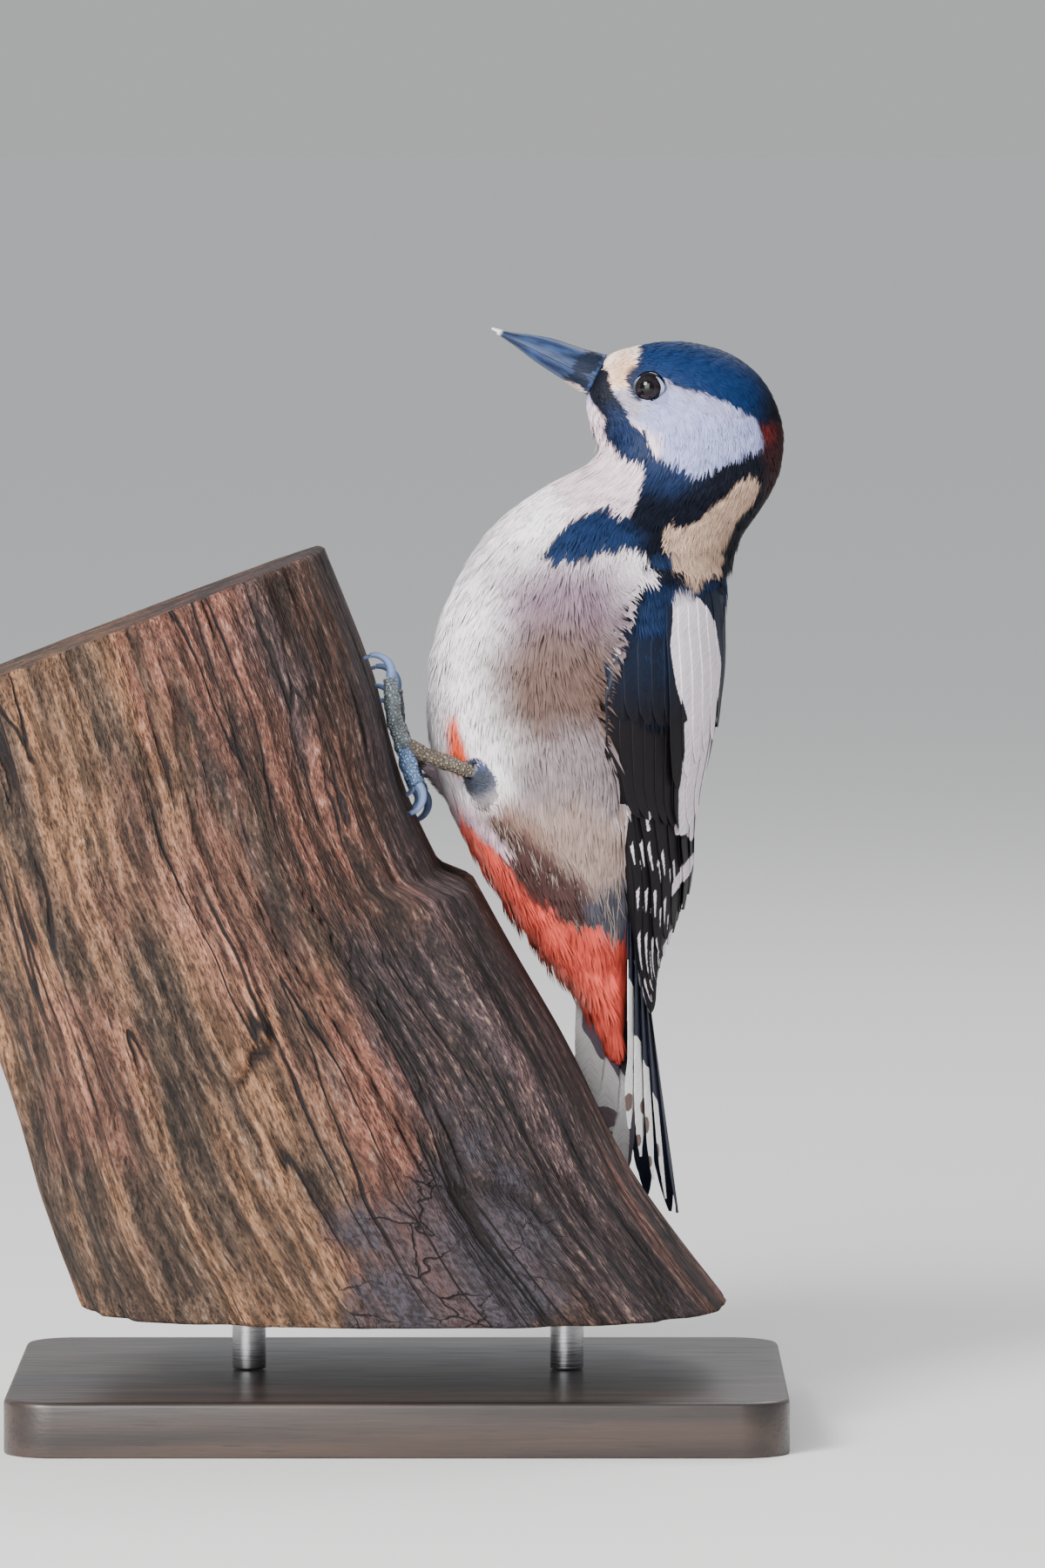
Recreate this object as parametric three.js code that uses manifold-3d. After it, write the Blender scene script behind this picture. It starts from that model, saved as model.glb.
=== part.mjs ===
// A great spotted woodpecker, life size, clinging to a cut length of weathered trunk on a display stand.
// Millimetres, +Z up. The origin is the middle of the base's underside. The trunk leans towards -X, and
// the bird hangs on its +X side with its left side towards -Y.
import * as THREE from "three";
import { LoftGeometry } from "three/addons/geometries/LoftGeometry.js";
import { mergeVertices } from "three/addons/utils/BufferGeometryUtils.js";
import Module from "manifold-3d";

const wasm = await Module();
wasm.setup();

// ---- Driving dimensions ----------------------------------------------------------------------------

const GAP = 0.3; // clearance between pieces that touch
const BODY_TURN = 22; // degrees that the belly is turned towards -Y, while the head looks along -X
const TURN_AXIS = [67.2, 27]; // X and Y of the upright line that the body is turned round
const LEFT = 1;
const RIGHT = -1;
const SIDES = { left: LEFT, right: RIGHT };

// Outline of the head and body in the bird's own middle plane. Each row is one slanting ring:
// dorsal point (back, height), ventral point (back, height), half width, turn in degrees.
const BODY_RINGS = [
  [-17.6, 254.9, -22.7, 244.0, 5.6, 0], // bill base
  [-14.3, 256.2, -22.3, 241.3, 7.4, 0], // forehead
  [-9.0, 257.5, -21.4, 238.3, 8.9, 0], // brow
  [-2.5, 258.3, -20.4, 235.8, 10.1, 0], // front of the crown
  [4.8, 257.7, -19.7, 233.7, 11.2, 0], // crown
  [13.0, 254.9, -19.5, 232.0, 13.2, 0], // back of the crown
  [19.7, 249.5, -19.7, 230.8, 14.9, 1], // top of the nape
  [24.0, 241.5, -20.8, 229.5, 15.7, 2], // nape
  [25.3, 232.5, -23.2, 228.1, 16.2, 5], // hind neck
  [23.4, 223.9, -27.2, 226.2, 17.0, 9], // lower neck
  [18.9, 216.3, -33.3, 223.4, 18.5, 14], // neck base
  [14.2, 209.6, -40.4, 219.2, 20.5, 18], // shoulders
  [12.0, 201.2, -47.6, 212.9, 23.0, 21], // upper mantle and breast
  [11.2, 191.1, -53.8, 204.8, 25.0, 22], // mantle
  [9.6, 180.0, -59.0, 194.5, 26.3, 22], // back
  [6.6, 168.4, -62.3, 182.7, 26.6, 22], // middle of the belly
  [2.6, 157.5, -63.2, 170.9, 26.0, 22], // lower back
  [-1.4, 146.4, -61.8, 159.4, 24.6, 22], // top of the rump, between the legs
  [-5.2, 135.9, -57.2, 145.6, 22.0, 22], // rump
  [-8.6, 126.0, -50.2, 132.6, 18.8, 22], // lower rump
  [-11.6, 117.0, -41.2, 120.4, 15.0, 22], // vent
  [-14.0, 107.0, -31.9, 108.0, 10.8, 22], // under tail coverts
  [-14.8, 96.0, -23.4, 97.2, 6.4, 22],
  [-14.8, 84.2, -17.4, 84.8, 2.0, 22], // tip of the coverts
];
const HEAD_ENDS = [0, 8]; // ring numbers between which each node lies
const NECK_ENDS = [8, 11];
const TORSO_ENDS = [11, 23];
const BODY_SIDES = 24;

const BILL_LENGTH = 27.7;
const BILL_SLOPE = 26; // degrees that the mouth line rises towards the tip
const BILL_ROOT = [-20.4, 249.0]; // back, height of the mouth line's root
const UPPER_BILL = [6.4, 5.5, 4.9, 4.2, 2.9, 1.5, 0.5]; // height over the mouth line, from root to tip
const LOWER_BILL = [3.9, 3.3, 2.8, 2.1, 1.1, 0.45]; // depth under it
const BILL_HALF_WIDTH = [4.9, 4.3, 3.6, 2.8, 2.0, 1.3, 0.7];
const BILL_SECTION = [[0, 1], [0.42, 0.86], [0.8, 0.5], [1, 0.04]]; // half of a keeled section
const BILL_SHORTER = 1.6; // how far the lower half ends before the upper one
const FACE_SLOPE = 25; // degrees that the feathers' edge leans back from upright
// The nostril's slit: its two ends as distance along the bill, left of it and over it.
const NOSTRIL = { from: [2.2, 4.4, 2.6], to: [5.4, 3.9, 2.3], radii: [0.25, 0.55, 0.25] };

const EYE_CENTRE = [-7.2, 247.4]; // back, height
const EYE_OUT = 8.6; // from the head's middle plane to the ball's centre
const EYE_RADIUS = 4;
const LIDS = { radius: 3.5, thickness: 0.75, out: 2.1, turn: 12 }; // ring round the ball, degrees forwards

// Outer face of the folded wing: height, middle of the cross-section, half depth, half width.
const WING_TOP = 210;
const WING_STEP = 10;
const WING_RINGS = [
  [-22.5, 32.0, 23.2],
  [-24.6, 35.6, 26.3],
  [-26.4, 37.0, 28.4],
  [-27.0, 36.9, 29.6],
  [-26.9, 35.2, 29.6],
  [-26.2, 32.4, 28.6],
  [-24.6, 28.4, 26.4],
  [-21.4, 24.4, 23.4],
  [-18.2, 20.9, 20.6],
  [-16.2, 16.9, 17.3],
  [-13.8, 11.6, 13.6],
  [-10.8, 6.2, 10.4],
  [-9.4, 3.0, 8.0],
  [-9.0, 2.6, 7.4],
];
// Tiers of vanes, the deepest first: number of vanes, width, depth over the wing's outer face, then root and
// tip [height, degrees from the back] of the first vane, by the back, and of the last, by the flank.
const WING_TIERS = [
  [6, 8.8, -2.5, [[156, 45], [164, 88]], [[119, 24], [97, 92]]], // primaries
  [5, 11.4, -1.6, [[164, 20], [170, 78]], [[131, 12], [114, 62]]], // secondaries
  [5, 9.8, -0.6, [[186, 60], [184, 90]], [[146, 60], [156, 90]]], // outer coverts
  [3, 10, -0.2, [[172, 30], [172, 56]], [[147, 22], [140, 50]]], // inner coverts
  [4, 10, 0.7, [[203, 46], [203, 66]], [[166, 32], [158, 60]]], // scapulars
];
const VANE_THICKNESS = 0.75;
const VANE_STATIONS = [0, 0.3, 0.65, 0.91, 1]; // shares of a vane's length
const VANE_TILT = 0.55; // each vane's flank edge stands out over the next one's back edge
const SHOULDER_DEPTH = -0.4; // of the small coverts at the shoulder, under the wing's outer face
const ARM_DEPTH = -2.0; // of the arm that the flight feathers' roots dip into
const ARM_HEIGHTS = [182, 192]; // between which the one turns into the other
const ARM_UNDERSIDE = -6.5;
// The arm from the shoulder down: height, degrees drawn in at both edges, and how deep its end is rounded.
const ARM_ROWS = [
  [208, 14, 2.2],
  [205, 5, 0.6],
  [199, 0, 0],
  [190, 0, 0],
  [181, 0, 0],
  [166, 0, 0],
  [150, 0, 0],
];

const TAIL_ROOT = [-11.05, 116]; // back, height
const TAIL_VANE = { thickness: 0.8, step: 0.75, tilt: 0.3, start: -4 }; // step: each lies under the next one
const TAIL_LEAN = 0.168; // backwards for each millimetre down
const TAIL_ARCH = 37.5; // radius of the arched cross-section
const TAIL_RIDGE = 5.1; // degrees that each half already slopes at the ridge, at the tail's root
const TAIL_FOLD = 0.42; // degrees more for each millimetre down
// Half of the tail, from the middle feather out: place across at the root, fan angle, length, width.
const TAIL_FEATHERS = [
  [1.5, 1.0, 68, 8.2],
  [5.0, 2.7, 64, 8.8],
  [8.0, 4.6, 59, 9.2],
  [11.0, 6.6, 53, 9.6],
  [13.7, 8.8, 46, 9.4],
  [14.9, 9.8, 20, 4.8],
];

// Coverts over the tail's root: down from the root, half width, rise over the feathers.
const TAIL_COVERTS = [
  [-9, 3.2, 2.4],
  [-4, 6.8, 3.8],
  [2, 8.4, 4.2],
  [8, 7.6, 3.6],
  [13, 5.4, 2.6],
  [17, 2.4, 1.7],
];

const LEG_SIDE = 13.4; // from the bird's middle plane to each leg
const THIGH_TOP = [-40, 145];
const THIGH_RADII = [8.0, 7.8, 6.8, 4.9, 3.0];
const HEEL = [-54.8, 155.0];
const TARSUS_RADII = [1.75, 1.45, 1.4, 1.55, 2.0];
const FOOT_HEIGHT = { left: 162, right: 158 };
const FOOT_Y = { left: -9.5, right: 15.5 };
const FOOT_LIFT = 3.1; // the toes' joint over the bark
const KNUCKLE = 2.3; // radius of that joint
// Each toe after its joint, in the foot's own frame: [up the trunk, outwards to the bird's side, over the
// bark], with its radii from the joint on.
const TOES = {
  inner_front: { path: [[5.5, -3.2, -0.6], [10.5, -5.4, -0.6]], radii: [1.9, 1.6, 1.35] },
  outer_front: { path: [[7.0, 0.6, -0.6], [12.8, 1.0, 0.2], [16.6, 1.0, 0.9]], radii: [2.1, 1.9, 1.8, 1.6] },
  outer_back: { path: [[-4.6, 1.9, 0.3], [-9.4, 3.6, 1.0]], radii: [2.1, 1.8, 1.55] },
  hind: { path: [[-4.6, -2.4, -0.8], [-8.0, -4.2, -0.6]], radii: [1.7, 1.4, 1.2] },
};
const CLAWS = { inner_front: 3.6, outer_front: 4.4, outer_back: 4.4, hind: 2.9 }; // radius of each claw's arc
const CLAW_GAP = 0.6; // from the toe's end to the claw's root
const CLAW_START = -25; // degrees along that arc at the toe, and how far the claw turns
const CLAW_TURN = 150;

// The trunk: right edge (x, z), left edge (x, z) and half depth of rings 30 mm apart up its right edge.
const PERCH_RINGS = [
  [78.0, 30, -74.6, 30, 64],
  [54.6, 60, -84.0, 56, 62],
  [36.6, 90, -92.0, 84, 60],
  [17.5, 120, -99.5, 110, 57],
  [2.2, 150, -106.0, 133, 54],
  [-6.4, 180, -112.0, 153, 52],
  [-18.0, 210, -117.5, 172, 50],
];
const PERCH_STATIONS = [0, 0.5, 1, 1.5, 2, 2.5, 3, 3.3, 3.36, 3.42, 3.48, 3.7, 4, 4.4, 4.8, 5.2, 5.6, 6];
const PERCH_SIDES = 96;
const PERCH_SQUARENESS = 3; // power of its rounded-square section
// Long hollows of the weathered grain: how many round the trunk, depth, twist per ring and phase.
const PERCH_FLUTES = [
  [5, 0.016, 0.5, 0.8],
  [9, 0.012, -0.7, 2.1],
  [14, 0.007, 1.1, 0.3],
  [24, 0.011, 1.6, 1.0],
];
const LEDGE = 5.9; // the broken outer layer that starts under the feet, in ring numbers and degrees
const LEDGE_TOP = [3.48, 3.3];
const LEDGE_WIDTH = [38, 62];

const BASE = { length: 184, depth: 136, height: 13, corner: 12, bevel: 1.2 };
const ROD_RADIUS = 4;
const ROD_PLACES = [[-36, 0], [40, 0]];

// ---- Mathematics -----------------------------------------------------------------------------------

const radians = THREE.MathUtils.degToRad;
const mix = THREE.MathUtils.lerp;
const smooth = THREE.MathUtils.smoothstep;
const count = (n) => Array.from({ length: n }, (_, i) => i);

/** Catmull-Rom value of evenly spaced rows of numbers at x, in row numbers. */
function spline(rows, x) {
  const last = rows.length - 1;
  const i = Math.min(Math.max(Math.floor(x), 0), last - 1);
  const f = x - i;
  const row = (k) => rows[Math.min(Math.max(k, 0), last)];
  const number = (a, b, c, d) =>
    b + 0.5 * f * (c - a + f * (2 * a - 5 * b + 4 * c - d + f * (3 * (b - c) + d - a)));
  if (!Array.isArray(rows[0])) return number(row(i - 1), row(i), row(i + 1), row(i + 2));
  return rows[0].map((_, k) => number(row(i - 1)[k], row(i)[k], row(i + 1)[k], row(i + 2)[k]));
}

/** A signed power, which squares off a circle's sine and cosine. */
const squared = (value, power) => Math.sign(value) * Math.abs(value) ** (2 / power);

/** A point of the bird: back from the turning axis, out to its left, and height. */
function birdPoint(back, left, height, turn = BODY_TURN) {
  const c = Math.cos(radians(turn));
  const s = Math.sin(radians(turn));
  return new THREE.Vector3(TURN_AXIS[0] + back * c + left * s, TURN_AXIS[1] + back * s - left * c, height);
}

// ---- Solids ----------------------------------------------------------------------------------------

/** A closed geometry as a solid, turned to face out. */
function solid(geometry) {
  const bare = new THREE.BufferGeometry().setAttribute("position", geometry.getAttribute("position").clone());
  if (geometry.index) bare.setIndex(geometry.index.clone());
  const merged = mergeVertices(bare, 1e-4);
  const corners = merged.index.array;
  const triangles = [];
  for (let i = 0; i < corners.length; i += 3) {
    const [a, b, c] = corners.subarray(i, i + 3);
    if (a !== b && b !== c && c !== a) triangles.push([a, b, c]);
  }
  const make = (flip) =>
    new wasm.Manifold(
      new wasm.Mesh({
        numProp: 3,
        vertProperties: new Float32Array(merged.attributes.position.array),
        triVerts: new Uint32Array(triangles.flatMap(([a, b, c]) => (flip ? [a, c, b] : [a, b, c]))),
      }),
    );
  const made = make(false);
  return made.volume() < 0 ? make(true) : made;
}

/** The largest closed body of a solid: drops scraps that a cut leaves and fills sealed hollows. */
const largest = (made) => made.decompose().reduce((a, b) => (a.volume() >= b.volume() ? a : b));

const join = (solids) => largest(wasm.Manifold.union(solids));

/** A geometry for three.js from a solid. */
function geometryOf(made) {
  const mesh = made.getMesh();
  return new THREE.BufferGeometry()
    .setAttribute("position", new THREE.BufferAttribute(new Float32Array(mesh.vertProperties), 3))
    .setIndex(new THREE.BufferAttribute(new Uint32Array(mesh.triVerts), 1));
}

/** A closed body through rings of points, which may run round either way. */
function loft(rings) {
  const middle = (ring) => ring.reduce((sum, p) => sum.add(p), new THREE.Vector3()).divideScalar(ring.length);
  const centre = middle(rings[0]);
  const onwards = middle(rings[1]).sub(centre);
  const facing = rings[0].reduce((sum, p, i) => {
    const next = rings[0][(i + 1) % rings[0].length].clone().sub(centre);
    return sum + p.clone().sub(centre).cross(next).dot(onwards);
  }, 0);
  const turned = facing < 0 ? rings.map((ring) => ring.slice().reverse()) : rings;
  return solid(new LoftGeometry(turned, { capStart: true, capEnd: true }));
}

/** A thin plate between two grids of points, with both faces split into triangles alike. */
function plate(top, bottom) {
  const rows = top.length;
  const columns = top[0].length;
  const under = rows * columns;
  const at = (i, j) => i * columns + j;
  const index = [];
  for (let i = 0; i < rows - 1; i++) {
    for (let j = 0; j < columns - 1; j++) {
      const [a, b, c, d] = [at(i, j), at(i, j + 1), at(i + 1, j + 1), at(i + 1, j)];
      index.push(a, b, c, a, c, d);
      index.push(under + a, under + c, under + b, under + a, under + d, under + c);
    }
  }
  const rim = [
    ...count(columns).map((j) => at(0, j)),
    ...count(rows - 1).map((i) => at(i + 1, columns - 1)),
    ...count(columns - 1).map((j) => at(rows - 1, columns - 2 - j)),
    ...count(rows - 2).map((i) => at(rows - 2 - i, 0)),
  ];
  rim.forEach((p, k) => {
    const q = rim[(k + 1) % rim.length];
    index.push(q, p, under + p, q, under + p, under + q);
  });
  return solid(new THREE.BufferGeometry().setFromPoints([...top.flat(), ...bottom.flat()]).setIndex(index));
}

/** Round rings of the given radii along a curve through points, as a tapered rod. */
function rod(points, radii, sides, steps) {
  const curve = new THREE.CatmullRomCurve3(points);
  const frames = curve.computeFrenetFrames(steps);
  return loft(
    count(steps + 1).map((i) => {
      const middle = curve.getPoint(i / steps);
      const radius = spline(radii, (i / steps) * (radii.length - 1));
      return count(sides).map((k) => {
        const angle = (k / sides) * 2 * Math.PI;
        return middle
          .clone()
          .addScaledVector(frames.normals[i], radius * Math.cos(angle))
          .addScaledVector(frames.binormals[i], radius * Math.sin(angle));
      });
    }),
  );
}

// ---- Head, neck and torso --------------------------------------------------------------------------

/** The plumage's surface: ring number, angle from the back towards the left side, growth outwards. */
function bodyPoint(ring, angle, grow = 0) {
  const [backTop, heightTop, backUnder, heightUnder, width, turn] = spline(BODY_RINGS, ring);
  const half = [(backTop - backUnder) / 2, (heightTop - heightUnder) / 2];
  const reach = Math.cos(angle) * (1 + grow / Math.hypot(...half));
  return birdPoint(
    (backTop + backUnder) / 2 + half[0] * reach,
    Math.sin(angle) * (width + grow),
    (heightTop + heightUnder) / 2 + half[1] * reach,
    turn,
  );
}

/** The plane that one ring lies in, facing down the body. */
function ringPlane(ring) {
  const [back, side, belly] = [0, 0.5, 1].map((half) => bodyPoint(ring, half * Math.PI));
  return new THREE.Plane().setFromCoplanarPoints(back, side, belly);
}

/** The stretch of the body between two ring numbers, as one closed solid with flat ends. */
function bodyStretch([from, to], steps, grow = 0) {
  const last = BODY_RINGS.length - 1;
  const [first, end] = [Math.max(from - 0.3, 0), Math.min(to + 0.3, last)];
  const rings = count(steps + 1).map((i) =>
    count(BODY_SIDES).map((k) => bodyPoint(mix(first, end, i / steps), (k / BODY_SIDES) * 2 * Math.PI, grow)),
  );
  let made = loft(rings);
  for (const [ring, way] of [[from, 1], [to, -1]]) {
    if (ring === 0 || ring === last) continue;
    const { normal, constant } = ringPlane(ring);
    const sense = way * Math.sign(normal.dot(bodyPoint(ring + 0.5, 0).sub(bodyPoint(ring, 0))));
    made = made.trimByPlane(normal.clone().multiplyScalar(sense).toArray(), -sense * constant + GAP / 2);
  }
  return made;
}

/** The eyeball's centre on one side. */
const eyeCentre = (side) => birdPoint(EYE_CENTRE[0], side * EYE_OUT, EYE_CENTRE[1], 0);

function eyeball(side, radius = EYE_RADIUS) {
  const ball = new THREE.SphereGeometry(radius, 14, 9).rotateX(Math.PI / 2);
  const { x, y, z } = eyeCentre(side);
  return solid(ball.translate(x, y, z));
}

/** The bare ring of skin that the lids make round the eye. */
function lids(side) {
  const { x, y, z } = eyeCentre(side);
  const ring = new THREE.TorusGeometry(LIDS.radius, LIDS.thickness, 6, 14).rotateX(Math.PI / 2);
  return solid(ring.rotateZ(-side * radians(LIDS.turn)).translate(x, y - side * LIDS.out, z));
}

function headSolid() {
  const skull = bodyStretch(HEAD_ENDS, 13);
  const sockets = Object.values(SIDES).map((side) => eyeball(side, EYE_RADIUS + GAP));
  return largest(join([skull, lids(LEFT), lids(RIGHT)]).subtract(wasm.Manifold.union(sockets)));
}

// ---- Bill ------------------------------------------------------------------------------------------

/** A point of the bill: along it from the root, out to the left, over the mouth line. */
function billPoint(along, left, over) {
  const c = Math.cos(radians(BILL_SLOPE));
  const s = Math.sin(radians(BILL_SLOPE));
  return birdPoint(BILL_ROOT[0] - along * c + over * s, left, BILL_ROOT[1] + along * s + over * c, 0);
}

/** How far along the bill the feathers' edge lies, for a height over the mouth line. */
const billStart = (over) => over * Math.tan(radians(BILL_SLOPE - FACE_SLOPE)) + GAP;

/** One half of the bill: rings of a keeled section from the face to the tip. */
function mandible(heights, length, sign) {
  const steps = 9;
  const around = [...BILL_SECTION, ...BILL_SECTION.slice(1).reverse().map(([x, y]) => [-x, y])];
  return loft(
    count(steps + 1).map((i) => {
      const share = i / steps;
      const height = spline(heights, share * (heights.length - 1));
      const width = spline(BILL_HALF_WIDTH, ((share * length) / BILL_LENGTH) * (BILL_HALF_WIDTH.length - 1));
      return around.map(([x, y]) => {
        const over = sign * (GAP / 2 + y * height);
        return billPoint(mix(billStart(over), length, share), x * width, over);
      });
    }),
  );
}

/** The slit of one nostril, close to the upper bill's root. */
function nostril(side) {
  const end = ([along, left, over]) => billPoint(along, side * left, over);
  const [from, to] = [end(NOSTRIL.from), end(NOSTRIL.to)];
  return rod([from, from.clone().lerp(to, 0.5), to], NOSTRIL.radii, 6, 4);
}

function upperBill() {
  const nostrils = wasm.Manifold.union([nostril(LEFT), nostril(RIGHT)]);
  return largest(mandible(UPPER_BILL, BILL_LENGTH, 1).subtract(nostrils));
}

const lowerBill = () => mandible(LOWER_BILL, BILL_LENGTH - BILL_SHORTER, -1);

// ---- Wings -----------------------------------------------------------------------------------------

/** The wing's outer face: height, degrees from the back, depth outwards, and a step across in mm. */
function wingPoint(side, height, degrees, depth, across = 0) {
  const [middle, deep, wide] = spline(WING_RINGS, (WING_TOP - height) / WING_STEP);
  const angle = radians(degrees);
  const back = (deep + depth) * Math.cos(angle);
  const out = (wide + depth) * Math.sin(angle);
  const slope = new THREE.Vector2(-deep * Math.sin(angle), wide * Math.cos(angle)).normalize();
  return birdPoint(middle + back + slope.x * across, side * (out + slope.y * across), height);
}

/** Depth of the arm's outer face at a height. */
const armDepth = (height) => mix(ARM_DEPTH, SHOULDER_DEPTH, smooth(height, ...ARM_HEIGHTS));

/** One tapered feather from its sunk root to its round tip, its flank edge lifted over its back edge. It
 *  may be made thicker on both faces, to cut its room out of what lies next to it. */
function wingVane(side, { root, tip, width, depth, thicker }) {
  const faces = [thicker, -VANE_THICKNESS - thicker].map((level) =>
    VANE_STATIONS.map((share) => {
      const half = (width / 2) * (0.55 + 0.45 * smooth(share, 0, 0.3)) * Math.sqrt(1.04 - share ** 8);
      const height = mix(root[0], tip[0], share);
      const degrees = mix(root[1], tip[1], share);
      const raised = smooth(share, 0, 0.25);
      const middle = mix(Math.min(armDepth(height) - 0.5, depth), depth, raised) + level;
      return [-1, 0, 1].map((edge) =>
        wingPoint(side, height, degrees, middle + edge * VANE_TILT * raised, edge * half),
      );
    }),
  );
  return plate(...faces);
}

/** The arm and the small coverts: one curved slab from the shoulder down to the flight feathers' roots. */
function wingArm(side) {
  const faces = [0, 1].map((under) =>
    ARM_ROWS.map(([height, drawn, sunk]) => {
      const from = mix(20, 40, smooth(height, 150, 176)) + drawn;
      const to = 92 - 8 * smooth(height, 170, 205) - 12 * (1 - smooth(height, 150, 166)) - drawn;
      const depth = under ? ARM_UNDERSIDE : armDepth(height) - sunk;
      return count(6).map((k) => wingPoint(side, height, mix(from, to, k / 5), depth));
    }),
  );
  return plate(...faces);
}

/** Slab of air along the back, so that the two wings stay apart. */
function midlineSlab() {
  const corners = [[-40, -GAP / 2], [30, -GAP / 2], [30, GAP / 2], [-40, GAP / 2]];
  return loft([80, 220].map((height) => corners.map(([back, left]) => birdPoint(back, left, height))));
}

function wingSolid(side, torso, thicker = 0) {
  const vanes = WING_TIERS.flatMap(([number, width, depth, roots, tips]) =>
    count(number).map((i) => {
      const share = i / (number - 1);
      const between = (pair) => [mix(pair[0][0], pair[1][0], share), mix(pair[0][1], pair[1][1], share)];
      return wingVane(side, { root: between(roots), tip: between(tips), width, depth, thicker });
    }),
  );
  return largest(join([wingArm(side), ...vanes]).subtract(torso).subtract(midlineSlab()));
}

// ---- Tail ------------------------------------------------------------------------------------------

/** The tail's upper face: down from the root, across the arch, lift outwards from that face. */
function tailPoint(down, across, lift) {
  const ridge = radians(TAIL_RIDGE + TAIL_FOLD * down);
  const slope = ridge + Math.abs(across) / TAIL_ARCH;
  const drop = TAIL_ARCH * (Math.cos(ridge) - Math.cos(slope)) - lift * Math.cos(slope);
  const out = TAIL_ARCH * (Math.sin(slope) - Math.sin(ridge)) + lift * Math.sin(slope);
  return birdPoint(TAIL_ROOT[0] + TAIL_LEAN * down - drop, Math.sign(across) * out, TAIL_ROOT[1] - down);
}

/** One tail feather, under the one next to it towards the middle. */
function tailVane(side, number) {
  const [root, fan, length, width] = TAIL_FEATHERS[number];
  const { thickness, step, tilt, start } = TAIL_VANE;
  const steps = 5;
  const faces = [0, -thickness].map((level) =>
    count(steps + 1).map((i) => {
      const share = i / steps;
      const down = mix(start, length, share);
      const middle = root + down * Math.tan(radians(fan));
      const taper = 1 - 0.88 * share ** 4;
      const half = (width / 2) * (0.6 + 0.4 * smooth(share, 0, 0.35)) * taper;
      const inner = Math.max(middle - half, number ? 0.4 : -0.6);
      const outer = middle + half;
      const lift = level - step * number;
      return [tailPoint(down, side * inner, lift - tilt), tailPoint(down, side * outer, lift + tilt)];
    }),
  );
  return plate(...faces);
}

/** The rump's end and the upper tail coverts, which carry the feathers. */
function tailRoot() {
  const sides = 10;
  const middle = -1.6;
  return loft(
    TAIL_COVERTS.map(([down, reach, rise]) =>
      count(sides).map((k) => {
        const angle = (k / sides) * 2 * Math.PI;
        return tailPoint(down, reach * Math.sin(angle), middle + rise * Math.cos(angle));
      }),
    ),
  );
}

/** The tail's solid, clear of the torso, the bark and both wings. */
function tailSolid(torso, bark, wings) {
  const vanes = Object.values(SIDES).flatMap((side) => TAIL_FEATHERS.map((_, i) => tailVane(side, i)));
  const whole = join([tailRoot(), ...vanes]).subtract(torso).subtract(bark);
  return largest(wings.reduce((left, wing) => left.subtract(wing), whole));
}

// ---- Trunk -----------------------------------------------------------------------------------------

/** The trunk's surface: station up it in ring numbers, degrees from +X towards +Y, growth outwards. */
function perchPoint(station, degrees, grow = 0) {
  const [rightX, rightZ, leftX, leftZ, depth] = spline(PERCH_RINGS, station);
  const angle = radians(degrees);
  const turn = Math.abs(((degrees + 180) % 360) - 180);
  const ledge = (1 - smooth(station, LEDGE_TOP[1], LEDGE_TOP[0])) * (1 - smooth(turn, ...LEDGE_WIDTH));
  const fade = smooth(station, 0, LEDGE_TOP[1]);
  const flute = PERCH_FLUTES.reduce(
    (sum, [waves, size, twist, phase]) => sum + size * Math.cos(waves * angle + twist * station + phase),
    0,
  );
  const quiet = mix(0.25, 1, smooth(turn, 20, 60)); // the grain runs smoother where the bird holds on
  const half = [(rightX - leftX) / 2, (rightZ - leftZ) / 2];
  const out = grow + LEDGE * ledge * fade;
  const k = 1 + flute * quiet + out / Math.hypot(...half);
  const x = squared(Math.cos(angle), PERCH_SQUARENESS) * k;
  const y = squared(Math.sin(angle), PERCH_SQUARENESS) * (depth * (1 + flute * quiet) + out);
  return new THREE.Vector3((rightX + leftX) / 2 + half[0] * x, y, (rightZ + leftZ) / 2 + half[1] * x);
}

const perchSolid = (grow = 0) =>
  loft(
    PERCH_STATIONS.map((station) =>
      count(PERCH_SIDES).map((k) => perchPoint(station, (k / PERCH_SIDES) * 360, grow)),
    ),
  );

/** The point of the trunk's +X face at a height and a Y, found by stepping the two surface numbers. */
function perchFace(height, y) {
  let station = (height - 30) / 30;
  let degrees = 0;
  for (let i = 0; i < 40; i++) {
    const at = perchPoint(station, degrees);
    station += (height - at.z) / 40;
    degrees += (y - at.y) * 0.4;
  }
  return perchPoint(station, degrees);
}

// ---- Legs and feet ---------------------------------------------------------------------------------

const heel = (side) => birdPoint(HEEL[0], side * LEG_SIDE, HEEL[1]);

/** The foot's frame: the toes' joint, up the trunk, out to the bird's side, and off the bark. */
function footFrame(name) {
  const side = SIDES[name];
  const at = perchFace(FOOT_HEIGHT[name], FOOT_Y[name]);
  const above = perchFace(FOOT_HEIGHT[name] + 9, FOOT_Y[name]);
  const up = above.clone().sub(at).normalize();
  const out = new THREE.Vector3(0, -side, 0);
  const off = new THREE.Vector3().crossVectors(up, out).multiplyScalar(side > 0 ? -1 : 1).normalize();
  if (off.x < 0) off.negate();
  const joint = at.clone().addScaledVector(off, FOOT_LIFT);
  return { joint, up, out, off };
}

const footPoint = ({ joint, up, out, off }, [a, b, c]) =>
  joint.clone().addScaledVector(up, a).addScaledVector(out, b).addScaledVector(off, c);

function toePoints(name, toe) {
  const frame = footFrame(name);
  return [frame.joint, ...TOES[toe].path.map((point) => footPoint(frame, point))];
}

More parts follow.
